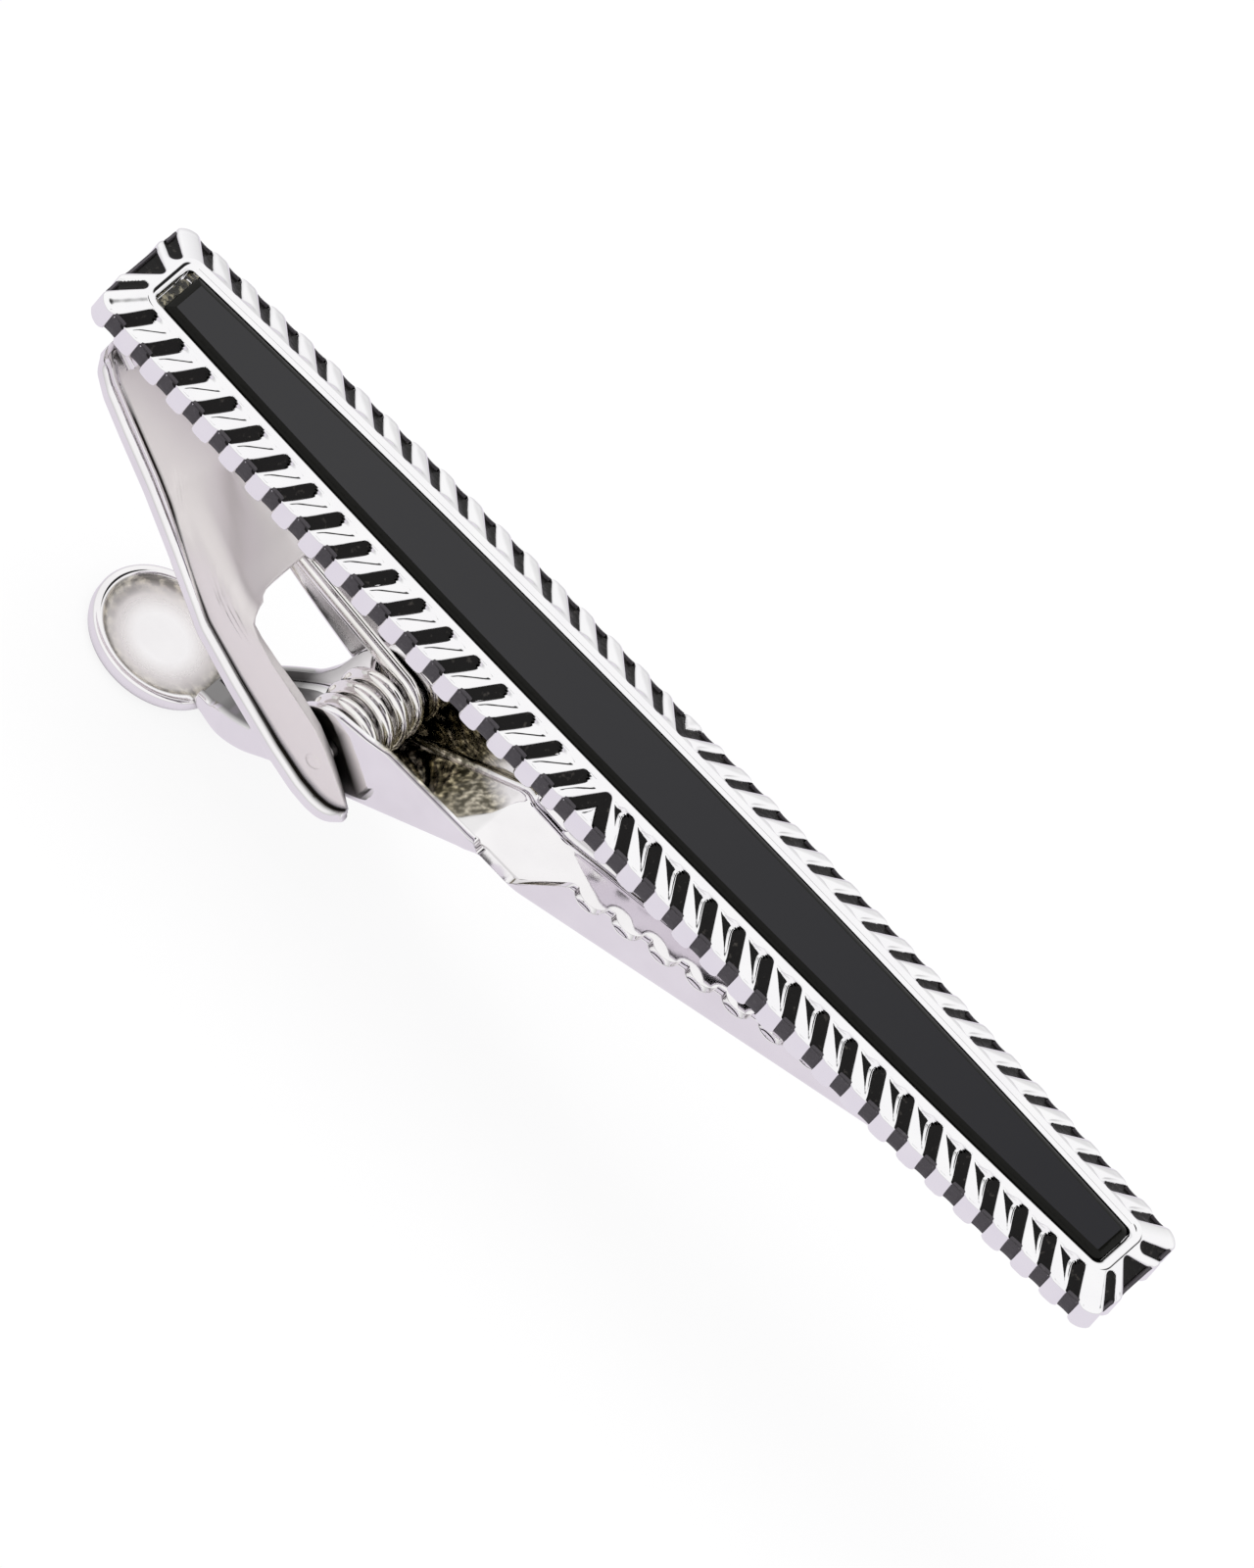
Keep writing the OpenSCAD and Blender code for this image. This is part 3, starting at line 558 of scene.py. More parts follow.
# Enamel: the faces of its own rows that lie in the notches, on the slope and on the side wall
verts = np.concatenate([r[0] for r in enamel_rows])
near = np.stack([r[1] for r in enamel_rows]) < SLOT_R + 0.03
SIDE_ROW = len(steps) + 2
for name, material, first, last in (("enamel_slope", enamel_top, 0, SIDE_ROW),
                                    ("enamel_wall", enamel_side, SIDE_ROW, len(enamel_rows) - 1)):
    faces = []
    for i in range(first, last):
        for j in range(count):
            k = (j + 1) % count
            if near[i, j] and near[i, k] and near[i + 1, j] and near[i + 1, k]:
                faces.append([i * count + j, i * count + k, (i + 1) * count + k, (i + 1) * count + j])
    used = sorted({v for f in faces for v in f})
    renumber = {v: n for n, v in enumerate(used)}
    fill = add_mesh(name, verts[used], [[renumber[v] for v in f] for f in faces], material, ROOT,
                    ["edge_enamel"], 60, False)
    depth = fill.modifiers.new("depth", "SOLIDIFY")
    depth.thickness, depth.offset = ENAMEL_T * MM, -1


# ---- Inlay ----

INLAY_FIT = 0.04
ROUND_CORNER, SHARP_CORNER = 0.42, 0.14
inlay_low, inlay_high = cad_box("inlay")


def inlay_loop(inset, steps=60):
    """Outline of the slab: round corners at one end, sharper ones at the other."""
    x0, x1 = inlay_low[0] + inset, inlay_high[0] - inset
    half = POCKET_LEN / 2
    points = []
    for r, x, sign in ((ROUND_CORNER, x1, 1), (SHARP_CORNER, x0, -1)):
        r = max(r - inset, 0.02)
        xs = np.linspace(0, x - sign * r, steps)
        side = [[v, bowed(v, half, POCKET_MID_W, POCKET_END_W) - INLAY_FIT - inset] for v in xs]
        y = side[-1][1] - r
        arc = [[x - sign * r + sign * r * math.sin(a), y + r * math.cos(a)] for a in np.linspace(0.2, math.pi / 2, 7)]
        points.append(np.array(side + arc))
    right, left = points
    top = np.concatenate([left[::-1], right[1:]])
    return np.concatenate([top, top[::-1] * [1, -1]])


stack = []
for inset, z in [(0, -0.7), (0, -0.2), (0.02, -0.15), (0.06, -0.115), (0.12, -0.085), (0.2, -0.05), (0.27, -0.022),
                 (0.32, -0.006), (0.35, 0.0), (0.37, 0.0)]:
    loop = inlay_loop(inset)
    stack.append(np.column_stack([loop, np.full(len(loop), z)]))
n = len(stack[0])
verts = np.concatenate(stack)
faces = grid_faces(len(stack), n, loop_cols=True, flip=True)
top = (len(stack) - 1) * n
for k in range(n // 2 - 1):
    faces.append([top + k, top + n - 1 - k, top + n - 2 - k, top + k + 1])
slab = add_mesh("inlay_slab", verts, faces, inlay_black, ROOT, ["inlay"], 30)
# Top faces keep the slab's material; the others take the darker copy, painted shade
slab.data.materials.append(inlay_edge_shade)
for face in slab.data.polygons:
    face.material_index = 0 if face.normal.z > 0.995 else 1

# Glue and solder keep the solids' own meshes
for node, material in (("inlay_adhesive", glue_amber), ("solder_joint", solder_metal)):
    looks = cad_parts[node].data.materials
    looks.clear()
    looks.append(material)


# ---- Sheet-metal parts: pairs of outer and inner grids with rounded cut edges ----

def sheet_mesh(outer_grid, inner_grid, closed_sides, edge_r, name, material, body, replaces):
    """A folded sheet from two matching grids (along, across, 3). Cut edges are rounded."""
    verts, faces = [], []

    def put(points):
        base = sum(len(v) for v in verts)
        verts.append(points.reshape(-1, 3))
        return base

    rows_n, cols_n = outer_grid.shape[:2]

    def rounded(edge_o, next_o, edge_i, next_i):
        """Profile points round a cut edge, from the outer face to the inner face."""
        ao, ai = unit(next_o - edge_o), unit(next_i - edge_i)
        across = unit(edge_i - edge_o)
        span = np.linalg.norm(edge_i - edge_o, axis=-1, keepdims=True)
        r = np.minimum(edge_r, span * 0.45)
        out = []
        for a in (0, 30, 60, 90):
            c, s = math.cos(math.radians(a)), math.sin(math.radians(a))
            out.append(edge_o + ao * r * (1 - s) + across * r * (1 - c))
        for a in (90, 60, 30, 0):
            c, s = math.cos(math.radians(a)), math.sin(math.radians(a))
            out.append(edge_i + ai * r * (1 - s) - across * r * (1 - c))
        return np.stack(out)

    def pull(grid, axis, index, neighbour):
        """Draws a cut row in by the edge radius so that the rounding fits."""
        g = np.moveaxis(grid, axis, 0)
        d = unit(g[neighbour] - g[index])
        g[index] = g[index] + d * edge_r * 0.999

    go, gi = outer_grid.copy(), inner_grid.copy()
    strips = []
    ends = [(0, 0, 1), (0, -1, -2)]
    if not closed_sides:
        ends += [(1, 0, 1), (1, -1, -2)]
    for axis, index, neighbour in ends:
        o, i = np.moveaxis(outer_grid, axis, 0), np.moveaxis(inner_grid, axis, 0)
        strips.append((axis, index, rounded(o[index], o[neighbour], i[index], i[neighbour])))
    for axis, index, neighbour in ends:
        pull(go, axis, index, neighbour)
        pull(gi, axis, index, neighbour)
    faces += grid_faces(rows_n, cols_n, base=put(go))
    faces += grid_faces(rows_n, cols_n, flip=True, base=put(gi))
    for axis, index, strip in strips:
        o, i = np.moveaxis(go, axis, 0)[index], np.moveaxis(gi, axis, 0)[index]
        strip[0], strip[-1] = o, i
        turn = (axis == 0) == (index == 0)
        faces += grid_faces(strip.shape[0], strip.shape[1], flip=turn, base=put(strip))
    if closed_sides:
        for index in (0, -1):
            strip = np.stack([go[:, index], gi[:, index]])
            faces += grid_faces(2, strip.shape[1], flip=index != 0, base=put(strip))
    return add_mesh(name, np.concatenate(verts), faces, material, body, replaces, 50)


def polyline(points, blur=0.0):
    """Piecewise-linear function through points, with its corners rounded over a length."""
    p = np.array(points, float)
    return lambda x: sum(np.interp(x + blur * t, p[:, 0], p[:, 1]) for t in (-1, -0.6, -0.2, 0.2, 0.6, 1)) / 6


# ---- Fixed arm ----

ARM_T = 0.5
FOLD = (-26.6, -2.7)
FOLD_R = 0.3
FOLD_STOP = math.radians(246)
LEAF_LEN, LEAF_HALF = 13.5, 1.95
SLOPE = math.radians(24)
ARM_X0, ARM_X1 = -27.36, -7.35
PIN = np.array([-9.9, -10.8576])
WINDOW_X, WINDOW_HALF, WINDOW_R = -16.2, 2.2, 0.9
ARM_BEND, LIP_R, CROWN = 1.1, 0.45, 0.12
# Section: flat-topped from the window on, a gable from the fold to GABLE_X - GABLE_RUN, and blended between
GABLE_X, GABLE_RUN = -17.2, 4.2
# Where the outer and the inner face meet the lip's bead, in degrees: for the flat top, and what the gable adds
BEAD_OUT, BEAD_IN = (84, 51), (-180, 15)
lip_z = polyline([(-27.4, -3.3), (-27.0, -4.4), (-26.1, -5.2), (-24.6, -6.05), (-22.3, -7.28), (-19.8, -8.8),
                  (-16.9, -10.7), (-14.4, -11.6), (-11.8, -12.4), (-9.8, -13.0), (-8.9, -13.1), (-8.3, -13.02),
                  (-7.9, -12.8), (-7.6, -12.45), (-7.35, -12.0)], 0.12)
prong_z = polyline([(-16.2, -7.57), (-15.4, -8.32), (-14.4, -8.6), (-11.6, -9.07), (-10.35, -9.55), (-9.55, -10.16),
                    (-8.8, -10.7), (-8.1, -11.3), (-7.65, -11.7), (-7.3, -12.1)])
arm_half = polyline([(-27.4, 2.4), (-11.4, 3.4), (-7, 3.4)])


def web_top(x):
    """Height of the web's outer face: steep down to the window, nearly level beside it."""
    start = FOLD[1] - FOLD_R * math.cos(SLOPE)
    run = min(x, WINDOW_X) - FOLD[0] + FOLD_R * math.sin(SLOPE)
    return start - run * math.tan(SLOPE) - 0.05 * max(x - WINDOW_X, 0)


def gable(x):
    """How far the arm's section is a gable: 1 at the fold, 0 from the window on."""
    return np.clip((GABLE_X - x) / GABLE_RUN, 0, 1)


def blended(arch, ridge, seat, g):
    """Face of the arm between an arch with a wall and a gable's straight slope."""
    arch = np.array(arch)
    s = (1 - (1 - np.linspace(0, 1, len(arch))) ** 1.8)[:, None]
    straight = np.array(ridge) * (1 - s) + np.array(seat) * s
    return arch * (1 - g) + straight * g


def arm_pairs(x):
    """Outer and inner points of half the arm's section, from the web's middle down to the lip."""
    w, top, g = float(arm_half(x)), web_top(x), gable(x)
    foot = float(lip_z(x)) + LIP_R
    bend = min(ARM_BEND, top - foot - LIP_R)
    web = ARM_T / math.cos(SLOPE)
    bead = np.array([w - ARM_T + LIP_R, foot])
    turn = (BEAD_OUT[0] + BEAD_OUT[1] * g, BEAD_IN[0] + BEAD_IN[1] * g)

    def on_bead(a):
        return bead + LIP_R * np.array([math.cos(math.radians(a)), math.sin(math.radians(a))])

    outside, inside = [], []
    for s in (0, 0.35, 0.7, 0.9):
        c = CROWN * (1 - s * s)
        outside.append(((w - bend) * s, top + c))
        inside.append(((w - bend) * s, top + c - web))
    for k in range(8):
        a = math.pi / 2 * (1 - k / 7)
        outside.append((w - bend * (1 - math.cos(a)), top - bend * (1 - math.sin(a))))
        inside.append((w - bend + (bend - ARM_T) * math.cos(a), top - web - (bend - ARM_T) * (1 - math.sin(a))))
    neck = min(foot + LIP_R * 1.02, top - bend - 0.05)
    outer_z, inner_z = outside[-1][1], inside[-1][1]
    for s in (0.12, 0.25, 0.4, 0.55, 0.7, 0.85, 1.0):
        outside.append((w, outer_z + (neck - outer_z) * s))
        inside.append((w - ARM_T, inner_z + (min(foot, inner_z) - inner_z) * s))
    outside = list(blended(outside, outside[0], on_bead(turn[0]), g))
    inside = list(blended(inside, inside[0], on_bead(turn[1]), g))
    for k in range(1, 15):
        outside.append(on_bead(turn[0] + (-70 - turn[0]) * k / 14))
        inside.append(on_bead(turn[1] + (-90 - turn[1]) * k / 14))
    return np.stack([np.array(outside), np.array(inside)], 1)


def arm_cut(x, y, z):
    """True where the window or the space above the prongs takes the sheet away."""
    if x > WINDOW_X + WINDOW_R and abs(y) < WINDOW_HALF:
        return True
    if x > WINDOW_X and abs(y) < WINDOW_HALF - WINDOW_R:
        return True
    if x > WINDOW_X and abs(y) < WINDOW_HALF:
        return math.hypot(x - WINDOW_X - WINDOW_R, abs(y) - WINDOW_HALF + WINDOW_R) < WINDOW_R
    return x > WINDOW_X and z > float(prong_z(x))


# Each line along the arm ends where the window or the prong's top cuts it
fine = np.linspace(ARM_X0, ARM_X1, 700)
fine_half = [float(arm_half(x)) for x in fine]
sections = np.array([arm_pairs(x) for x in fine])
middle = sections.mean(axis=2)
pairs_n = sections.shape[1]
ends_at = []
for k in range(pairs_n):
    stop = len(fine) - 1
    for i, x in enumerate(fine):
        if arm_cut(x, middle[i, k, 0], middle[i, k, 1]):
            stop = i
            break
    ends_at.append(fine[stop])
along = np.linspace(0, 1, 120) ** 1.15
outer_half = np.zeros((len(along), pairs_n, 3))
inner_half = np.zeros((len(along), pairs_n, 3))
for k in range(pairs_n):
    xs = ARM_X0 + (ends_at[k] - ARM_X0) * along
    for target, side_index in ((outer_half, 0), (inner_half, 1)):
        target[:, k, 0] = xs
        target[:, k, 1] = np.interp(xs, fine, sections[:, k, side_index, 0])
        target[:, k, 2] = np.interp(xs, fine, sections[:, k, side_index, 1])


def both_sides(half_grid):
    """Full grid across, from the lip at -Y to the lip at +Y."""
    left = half_grid[:, ::-1][:, :-1] * [1, -1, 1]
    return np.concatenate([left, half_grid], axis=1)


arm = sheet_mesh(both_sides(outer_half), both_sides(inner_half), True, 0.07, "arm_bracket", clip_metal, ROOT,
                 ["clip_arm"])


def arm_width(co):
    """Half the arm's width at each vertex."""
    return np.interp(co[:, 0], fine, fine_half)


def lip_frame(co):
    """Place of each vertex across and up from the middle of the lip's bead."""
    y = np.abs(co[:, 1]) - (arm_width(co) - ARM_T + LIP_R)
    z = co[:, 2] - lip_z(co[:, 0]) - LIP_R
    return y, z


def lip_valley(co):
    """1 along the line where the outer face meets the bead, for a line of painted shade in the valley."""
    y, z = lip_frame(co)
    a = np.radians(BEAD_OUT[0] + BEAD_OUT[1] * gable(co[:, 0]))
    far = np.hypot(y - LIP_R * np.cos(a), z - LIP_R * np.sin(a))
    spread = 0.09 + 0.09 * np.clip((co[:, 0] + 15) / 6, 0, 1)
    fade = np.clip((co[:, 0] + 26.6) / 2, 0.25, 1)
    return np.clip((1.6 * spread - far) / spread, 0, 1) * fade


def sheet_area(co):
    """1 on the sheet between the two beads, and less inside the far wall."""
    y, z = lip_frame(co)
    web = np.clip((np.hypot(y, z) - LIP_R) / 0.12, 0, 1) * np.clip((co[:, 0] + 27) / 0.8, 0, 1)
    far_inside = (co[:, 1] > 1) & (arm_width(co) - co[:, 1] > 0.12)
    return web * np.where(far_inside, 0.7, 1)


def prong_inside(co):
    """0.8 on the inner face of the near prong, which sits in the shade of the jaw's cheek."""
    inward = arm_width(co) + co[:, 1]
    return 0.8 * (co[:, 1] < -1) * np.clip((inward - 0.12) / 0.05, 0, 1) * np.clip(co[:, 0] + 11, 0, 1)


# Near-black painted shade along the lip's valley and on the near prong's inner face; satin finish on the sheet
paint(arm, "crease", lambda co: np.maximum(lip_valley(co), prong_inside(co)))
paint(arm, "satin", sheet_area)

# Leaf and fold: one strip along a path in the XZ plane
mid_r = FOLD_R + ARM_T / 2
path = [(x, FOLD[1] + mid_r) for x in np.linspace(FOLD[0] + LEAF_LEN, FOLD[0], 24)]
path += [(FOLD[0] + mid_r * math.cos(a), FOLD[1] + mid_r * math.sin(a))
         for a in np.linspace(math.pi / 2, FOLD_STOP, 22)[1:]]
tail_dir = (math.cos(SLOPE), -math.sin(SLOPE))
path += [(path[-1][0] + tail_dir[0] * s, path[-1][1] + tail_dir[1] * s) for s in (0.3, 0.8)]
path = np.array(path)
tangent = unit(np.gradient(path, axis=0))
normal = np.stack([tangent[:, 1], -tangent[:, 0]], -1)
leaf_end = FOLD[0] + LEAF_LEN - LEAF_HALF
width = np.array([LEAF_HALF if p[0] < leaf_end else
                  math.sqrt(max(LEAF_HALF ** 2 - (p[0] - leaf_end) ** 2, 0.01)) for p in path])
across = np.linspace(-1, 1, 15)


def strip_grid(offset):
    """One face of the strip, at a distance from its middle."""
    g = np.zeros((len(path), len(across), 3))
    p = path + normal * offset
    g[:, :, 0] = p[:, 0:1]
    g[:, :, 2] = p[:, 1:2]
    g[:, :, 1] = width[:, None] * across
    return g


sheet_mesh(strip_grid(ARM_T / 2), strip_grid(-ARM_T / 2), False, 0.06, "arm_fold", clip_metal, ROOT,
           ["clip_arm"])


# ---- Jaw and lever ----

# Profiles along the jaw, from the pin: foot_z is a sheet's thickness below the floor's inside, belly_z the floor's
# outside where the dies have rounded it further, jaw_half half the width, and rim_line the walls' top
JAW_T, JAW_BEND = 0.4, 0.85
foot_z = polyline([(-5.6, -5.75), (-4.98, -5.72), (-4.59, -5.55), (-4.0, -4.96), (-1.79, -3.09), (0.82, -2.192),
                   (1.225, -1.994), (7.02, 1.567), (7.3, 1.56), (9.41, 1.504), (31.39, 7.22), (31.9, 7.36)], 0.35)
belly_z = polyline([(-5.6, -5.78), (-4.98, -5.75), (-4.59, -5.64), (-4.0, -5.32), (-3.4, -4.95), (-2.6, -4.32),
                    (-1.79, -3.65), (-0.5, -2.8), (0.82, -2.192), (1.225, -1.994), (7.02, 1.567), (7.3, 1.56),
                    (9.41, 1.504), (31.39, 7.22), (31.9, 7.36)], 0.5)
jaw_half = polyline([(-5.6, 1.45), (-5.1, 1.5), (-4.6, 1.75), (-4.0, 2.1), (-3.3, 2.38), (-2.5, 2.6), (7.02, 2.6),
                     (7.3, 2.34), (9.41, 2.3), (31.39, 1.0), (31.9, 0.7)], 0.25)
TOOTH_START, TOOTH_PITCH, TOOTH_H, TOOTH_R = 11.07, 1.81, 0.57, 0.75
PEAK_Z0, PEAK_Z1, JAW_LEN = 4.557, 8.96, 31.9
CHEEK_R = 2.15
cheek = [(CHEEK_R * math.cos(math.radians(a)), CHEEK_R * math.sin(math.radians(a))) for a in range(186, 94, -6)]
rim_line = polyline([(-5.7, -4.64), (-4.995, -4.49), (-4.6, -4.04), (-2.8, -2.54), (-2.3, -1.34)] + cheek +
                    [(0.893, 2.31), (2.01, 2.61), (7.08, 2.66), (7.305, 2.13), (9.12, 2.066), (TOOTH_START, PEAK_Z0),
                     (JAW_LEN, PEAK_Z1)], 0.12)


def jaw_top(x):
    """Height of the walls' top, with a round scoop between each two teeth."""
    z = float(rim_line(x))
    if x > TOOTH_START:
        n = round((x - TOOTH_START - 1) / TOOTH_PITCH)
        centre = TOOTH_START + 1 + n * TOOTH_PITCH
        if n >= 0 and centre < JAW_LEN - TOOTH_R and abs(x - centre) < TOOTH_R:
            line = PEAK_Z0 + (centre - TOOTH_START) * (PEAK_Z1 - PEAK_Z0) / (JAW_LEN - TOOTH_START)
            z = min(z, line + TOOTH_R - TOOTH_H - math.sqrt(TOOTH_R ** 2 - (x - centre) ** 2))
    return z


def jaw_pairs(x):
    """Outer and inner points of half the jaw's section, from the floor's middle up to the wall's top."""
    w, z, top = float(jaw_half(x)), float(foot_z(x)), jaw_top(x)
    low = min(float(belly_z(x)), z)
    bend = min(JAW_BEND, 0.7 * w)
    inner_bend = max(bend - JAW_T, 0.05)
    pairs = []
    for s in (0, 0.35, 0.7, 0.9):
        y = (w - bend) * s
        pairs.append(((y, low), (y, z + JAW_T)))
    for k in range(9):
        a = math.pi / 2 * k / 8
        pairs.append(((w - bend + bend * math.sin(a), low + bend * (1 - math.cos(a))),
                      (w - JAW_T - inner_bend + inner_bend * math.sin(a), z + JAW_T + inner_bend * (1 - math.cos(a)))))
    rise, inner_rise = low + bend, z + JAW_T + inner_bend
    for s in (0.15, 0.3, 0.45, 0.6, 0.75, 0.88, 1.0):
        pairs.append(((w, rise + (top - rise) * s), (w - JAW_T, inner_rise + (top - inner_rise) * s)))
    pairs = np.array(pairs)
    pairs[:, :, 1] = np.minimum(pairs[:, :, 1], top)
    return pairs


xs = np.concatenate([np.arange(-5.6, TOOTH_START, 0.1), np.arange(TOOTH_START, JAW_LEN, 0.06), [JAW_LEN]])
sections = np.array([jaw_pairs(x) for x in xs])
grids = []
for side_index in (0, 1):
    g = np.zeros((len(xs), sections.shape[1], 3))
    g[:, :, 0] = xs[:, None] + PIN[0]
    g[:, :, 1] = sections[:, :, side_index, 0]
    g[:, :, 2] = sections[:, :, side_index, 1] + PIN[1]
    grids.append(both_sides(g)[:, ::-1])
jaw = sheet_mesh(grids[0], grids[1], False, 0.06, "jaw_channel", clip_metal, JAW, ["jaw_lever"])


def channel_inside(co, x, floor, wall):
    """1 inside the channel, from a height above its foot and a distance in from its walls' outside."""
    z = co[:, 2] - PIN[1]
    return np.clip((z - foot_z(x) - floor) / 0.1, 0, 1) * np.clip((jaw_half(x) - np.abs(co[:, 1]) - wall) / 0.1, 0, 1)


def by_coil(co):
    """1 on the channel's inside in front of the coil, for a speckled painted shade."""
    x = co[:, 0] - PIN[0]
    return channel_inside(co, x, 0.3, 0.2) * np.clip((x - 1.2) / 0.5, 0, 1) * np.clip((5.6 - x) / 1.2, 0, 1)


def in_neck(co):
    """0.75 of painted shade on the inside of the channel's narrow neck."""
    x = co[:, 0] - PIN[0]
    return 0.75 * channel_inside(co, x, 0.2, 0.15) * np.clip((-2.2 - x) / 0.8, 0, 1)


# Speckled painted shade in front of the coil
paint(jaw, "speckled_shade", by_coil)
# Near-black painted shade inside the neck
paint(jaw, "crease", in_neck)

# Thumb paddle: a dished oval, whose rim opens where the neck's channel comes in
PADDLE_X, PADDLE_A, PADDLE_B = -18.25, 3.35, 3.15
P_TOP, P_FOOT, P_FLOOR = -15.95, -16.75, -16.36
NECK_HALF, PADDLE_SIDES = 1.35, 96
profile = [(0.0, P_FLOOR), (0.35, P_FLOOR), (0.62, P_FLOOR + 0.01), (0.74, P_FLOOR + 0.05), (0.815, P_FLOOR + 0.16),
           (0.85, P_TOP - 0.1), (0.868, P_TOP - 0.03), (0.9, P_TOP), (0.955, P_TOP), (0.985, P_TOP - 0.04),
           (1.0, P_TOP - 0.14), (1.0, P_FOOT + 0.3), (0.985, P_FOOT + 0.14), (0.94, P_FOOT + 0.03), (0.85, P_FOOT),
           (0.0, P_FOOT)]
ring = []
for share, z in profile:
    for k in range(PADDLE_SIDES):
        a = 2 * math.pi * k / PADDLE_SIDES
        x, y = PADDLE_A * share * math.cos(a), PADDLE_B * share * math.sin(a)
        height = z
        if x > 0 and abs(y) < NECK_HALF and z > P_FLOOR:
            height = z + (P_FLOOR - z) * np.clip((NECK_HALF - abs(y)) / 0.3, 0, 1)
        ring.append((PADDLE_X + x, y, height))
thumb = add_mesh("thumb_paddle", ring, grid_faces(len(profile), PADDLE_SIDES, loop_cols=True), clip_metal, JAW,
                 ["jaw_lever"], 50)


def dish_band(co, start, fade_in, end):
    """1 on the paddle's upper face between two shares of its radius, 0 elsewhere."""
    share = np.hypot((co[:, 0] - PADDLE_X) / PADDLE_A, co[:, 1] / PADDLE_B)
    band = np.clip((share - start) / fade_in, 0, 1) * np.clip((end - share) / 0.02, 0, 1)
    return band * (co[:, 2] > P_FLOOR - 0.05)


def dish_wall(co):
    """0.8 on the steep wall inside the paddle's rim, for a speckled painted shade."""
    return 0.8 * dish_band(co, 0.72, 0.05, 0.865)


def dish_bend(co):
    """0.85 where the paddle's floor bends up into its wall."""
    return 0.85 * dish_band(co, 0.5, 0.1, 0.86)


# Speckled painted shade on the dish's inner wall; satin finish where the floor bends up
paint(thumb, "speckled_shade", dish_wall)
paint(thumb, "satin", dish_bend)


# ---- Spring and pin ----

WIRE_R, COIL_R, COIL_PITCH = 0.36, 1.5, 1.04
ARM_LEG, JAW_LEG = 3.6, 7.3
# Angles at the coil's ends: three full turns, and the rest from leg to leg
a0, a1 = math.radians(-69.5), math.radians(83 + 3 * 360)
half_w = COIL_PITCH * (a1 - a0) / (2 * math.pi) / 2
coil = [(COIL_R * math.cos(a), -half_w + 2 * half_w * (a - a0) / (a1 - a0), COIL_R * math.sin(a))
        for a in np.linspace(a0, a1, 150)]
first_dir = np.array([-math.sin(a0), 0, math.cos(a0)])
last_dir = np.array([-math.sin(a1), 0, math.cos(a1)])
leg_a = [np.array(coil[0]) - first_dir * s for s in np.linspace(ARM_LEG, 0.1, 12)]
leg_b = [np.array(coil[-1]) + last_dir * s for s in np.linspace(0.1, JAW_LEG, 24)]
path3 = np.array(leg_a + [np.array(c) for c in coil] + leg_b) + [PIN[0], 0, PIN[1]]
tangent = unit(np.gradient(path3, axis=0))
side_v = unit(np.cross(tangent, [0, 1, 0]))
up_v = np.cross(side_v, tangent)
sides = 20
ring = []
radii = np.full(len(path3), WIRE_R)
radii[0] = radii[-1] = WIRE_R * 0.8
for k in range(sides):
    a = 2 * math.pi * k / sides
    ring.append(path3 + (side_v * math.cos(a) + up_v * math.sin(a)) * radii[:, None])
verts = np.stack(ring, 1).reshape(-1, 3)
faces = grid_faces(len(path3), sides, loop_cols=True)
faces.append(list(range(sides)))
faces.append(list(range((len(path3) - 1) * sides, len(path3) * sides))[::-1])
spring = add_mesh("coil_spring", verts, faces, wire_metal, None, ["torsion_spring"], 60)
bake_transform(spring)

PIN_R, PIN_HALF, PIN_SIDES = 0.45, 3.4, 32
profile = [(0.0, PIN_HALF + 0.07), (0.2, PIN_HALF + 0.06), (0.36, PIN_HALF + 0.02), (PIN_R, PIN_HALF - 0.06),
           (PIN_R, 0)]
profile = profile + [(r, -y) for r, y in profile[::-1][1:]]
ring = [(PIN[0] + r * math.cos(2 * math.pi * k / PIN_SIDES), y, PIN[1] + r * math.sin(2 * math.pi * k / PIN_SIDES))
        for r, y in profile for k in range(PIN_SIDES)]
rivet = add_mesh("pivot_rivet", ring, grid_faces(len(profile), PIN_SIDES, loop_cols=True, flip=True), clip_metal, ROOT,
                 ["pivot_pin"], 50)
paint(rivet, "satin", lambda co: np.abs(co[:, 1]) > PIN_HALF - 0.1)


# ---- Studio ----

scene = bpy.context.scene
scene.view_settings.view_transform = "Standard"

# Camera: a nearly parallel view, placed as in the photograph
PX_PER_MM = 25.26
IMAGE = (1280, 1600)
BAR_CENTRE_PX = (658.4, 778.9)
ROLL = math.radians(41.07)
AZIMUTH, ELEVATION = math.radians(6), math.radians(50)
back = Vector((math.sin(AZIMUTH) * math.cos(ELEVATION), -math.cos(AZIMUTH) * math.cos(ELEVATION),
               math.sin(ELEVATION)))
level = back.to_track_quat("Z", "Y").to_matrix()
turned = level @ Matrix.Rotation(ROLL, 3, "Z")
right, up = turned.col[0], turned.col[1]
LENS, SENSOR = 1200.0, 36.0
distance = LENS / SENSOR * IMAGE[1] / PX_PER_MM * MM
shift_right = (BAR_CENTRE_PX[0] - IMAGE[0] / 2) / PX_PER_MM * MM
shift_up = (IMAGE[1] / 2 - BAR_CENTRE_PX[1]) / PX_PER_MM * MM
target = -right * shift_right - up * shift_up
camera = bpy.data.cameras.new("camera")
camera.lens, camera.sensor_width = LENS, SENSOR
camera.clip_start, camera.clip_end = 0.01, 10
eye = bpy.data.objects.new("camera", camera)
eye.matrix_world = Matrix.Translation(target + back * distance) @ turned.to_4x4()
bpy.context.collection.objects.link(eye)
scene.camera = eye


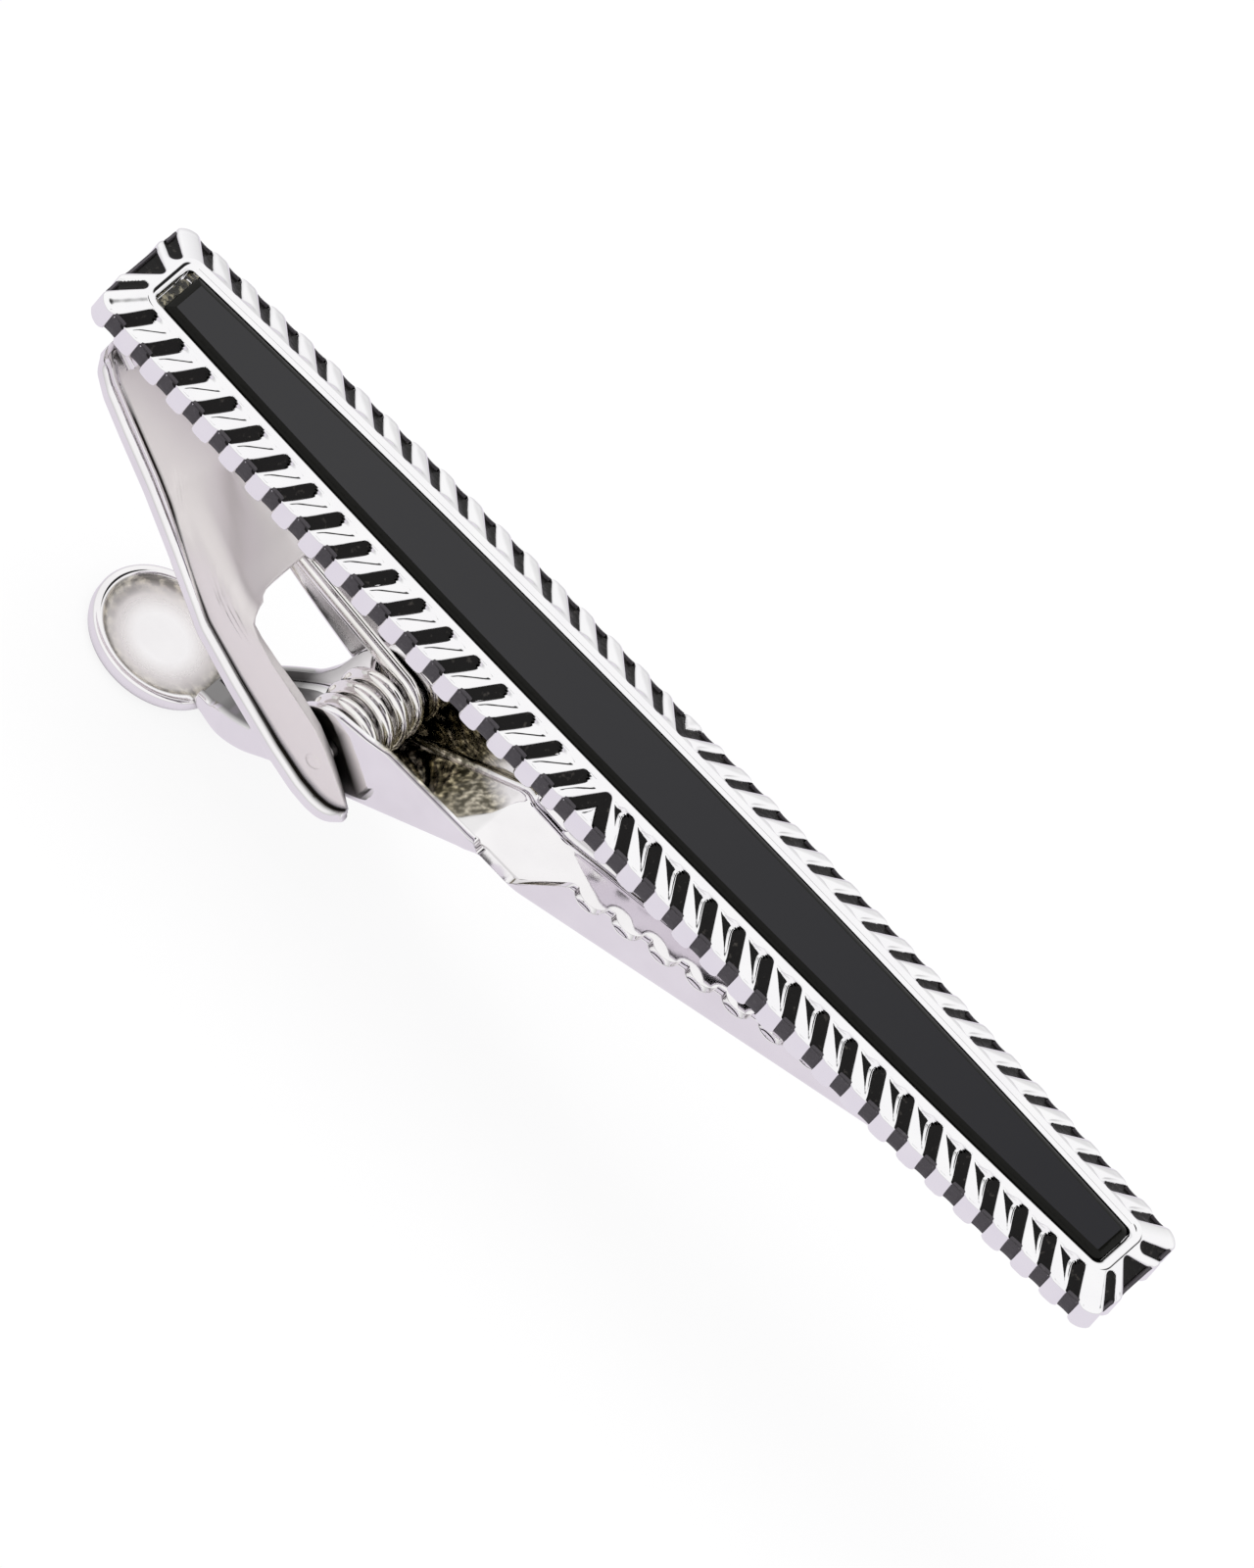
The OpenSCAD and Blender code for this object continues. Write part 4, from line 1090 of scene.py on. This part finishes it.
def card(tree, ray, light, towards, inner, outer, dark):
    """What a dark card in a white studio leaves of the light: it hangs in one direction, with soft edges."""
    dot = tree.nodes.new("ShaderNodeVectorMath")
    dot.operation = "DOT_PRODUCT"
    dot.inputs[1].default_value = Vector(towards).normalized()
    tree.links.new(ray, dot.inputs[0])
    edge = value_range(tree, dot.outputs["Value"], 1.0, 1.0 - dark, math.cos(math.radians(outer)),
                       math.cos(math.radians(inner)))
    edge.interpolation_type = "SMOOTHSTEP"
    rest = tree.nodes.new("ShaderNodeMath")
    rest.operation = "MULTIPLY"
    tree.links.new(light, rest.inputs[0])
    tree.links.new(edge.outputs["Result"], rest.inputs[1])
    return rest.outputs["Value"]


def glow(tree, kind, colour):
    """An even light of one colour, as a Background or an Emission node's output."""
    node = tree.nodes.new("ShaderNode" + kind)
    node.inputs["Color"].default_value = (*colour, 1)
    return node.outputs[kind]


def mix_shader(tree, share, a, b):
    """Shader b over shader a; the share is a socket or a number."""
    node = tree.nodes.new("ShaderNodeMixShader")
    if isinstance(share, float):
        node.inputs["Fac"].default_value = share
    else:
        tree.links.new(share, node.inputs["Fac"])
    tree.links.new(a, node.inputs[1])
    tree.links.new(b, node.inputs[2])
    return node.outputs["Shader"]


# A white studio: an even soft light, and for the metal to mirror, white walls with a few dark cards
WHITE = (1, 1, 1)
SOFT_STRENGTH = 0.8
WALL_FOOT, WALL_HEAD, WALL_HEIGHT = 0.62, 0.98, 0.42
# Cards: direction, angle within which each is whole and angle where it ends, share of the light that it takes
CARDS = (((0.27, 0.61, 0.75), 11, 15, 0.985),
         ((-0.25, 0.305, 0.92), 6.5, 9.5, 0.97),
         ((-0.067, -0.2, 0.98), 2, 5, 0.6))
world = bpy.data.worlds.new("studio")
world.use_nodes = True
scene.world = world
wt = world.node_tree
soft = wt.nodes["Background"]
soft.inputs["Color"].default_value = (0.93, 0.92, 0.94, 1)
soft.inputs["Strength"].default_value = SOFT_STRENGTH
mirrored, plain = glow(wt, "Background", WHITE), glow(wt, "Background", WHITE)
ray = wt.nodes.new("ShaderNodeTexCoord").outputs["Generated"]
height = wt.nodes.new("ShaderNodeSeparateXYZ")
wt.links.new(ray, height.inputs["Vector"])
light = value_range(wt, height.outputs["Z"], WALL_FOOT, WALL_HEAD, 0.0, WALL_HEIGHT).outputs["Result"]
for towards, inner, outer, dark in CARDS:
    light = card(wt, ray, light, towards, inner, outer, dark)
wt.links.new(light, mirrored.node.inputs["Strength"])
light_path = wt.nodes.new("ShaderNodeLightPath").outputs
for_metal = mix_shader(wt, light_path["Is Glossy Ray"], soft.outputs["Background"], mirrored)
for_camera = mix_shader(wt, light_path["Is Camera Ray"], for_metal, plain)
wt.links.new(for_camera, wt.nodes["World Output"].inputs["Surface"])


def area_light(name, at, towards, size, power):
    """A soft lamp that the metal doesn't mirror; places and sizes are in millimetres."""
    data = bpy.data.lights.new(name, "AREA")
    data.shape = "RECTANGLE"
    data.size, data.size_y = size[0] * MM, size[1] * MM
    data.energy = power
    lamp = bpy.data.objects.new(name, data)
    lamp.location = Vector(at) * MM
    lamp.rotation_mode = "QUATERNION"
    lamp.rotation_quaternion = (Vector(towards) - Vector(at)).to_track_quat("-Z", "Y")
    lamp.visible_glossy = False
    bpy.context.collection.objects.link(lamp)


area_light("key_soft", (-120, 60, 220), (0, 0, 0), (160, 160), 0.35)
area_light("fill_soft", (160, -160, 120), (0, 0, 0), (160, 160), 0.15)

# Floor: nearly white to the camera, lilac in the metal
FLOOR_HALF, FLOOR_GLOW, FLOOR_LILAC = 400, 0.86, (0.77, 0.73, 0.80)
floor_z = cad_low[2] / MM - 0.05
floor_mesh = bpy.data.meshes.new("floor")
floor_mesh.from_pydata([(x * FLOOR_HALF * MM, y * FLOOR_HALF * MM, floor_z * MM)
                        for x, y in ((-1, -1), (1, -1), (1, 1), (-1, 1))], [], [(0, 1, 2, 3)])
floor = bpy.data.objects.new("floor", floor_mesh)
bpy.context.collection.objects.link(floor)
floor_white, tree, shader = new_material("floor_white", (0.93, 0.93, 0.93), 0.0, 0.6)
light_path = tree.nodes.new("ShaderNodeLightPath").outputs
lit = shader.outputs["BSDF"]
pale = mix_shader(tree, FLOOR_GLOW, lit, glow(tree, "Emission", WHITE))
seen = mix_shader(tree, light_path["Is Camera Ray"], lit, pale)
mirror_view = mix_shader(tree, light_path["Is Glossy Ray"], seen, glow(tree, "Emission", FLOOR_LILAC))
tree.links.new(mirror_view, tree.nodes["Material Output"].inputs["Surface"])
floor_mesh.materials.append(floor_white)
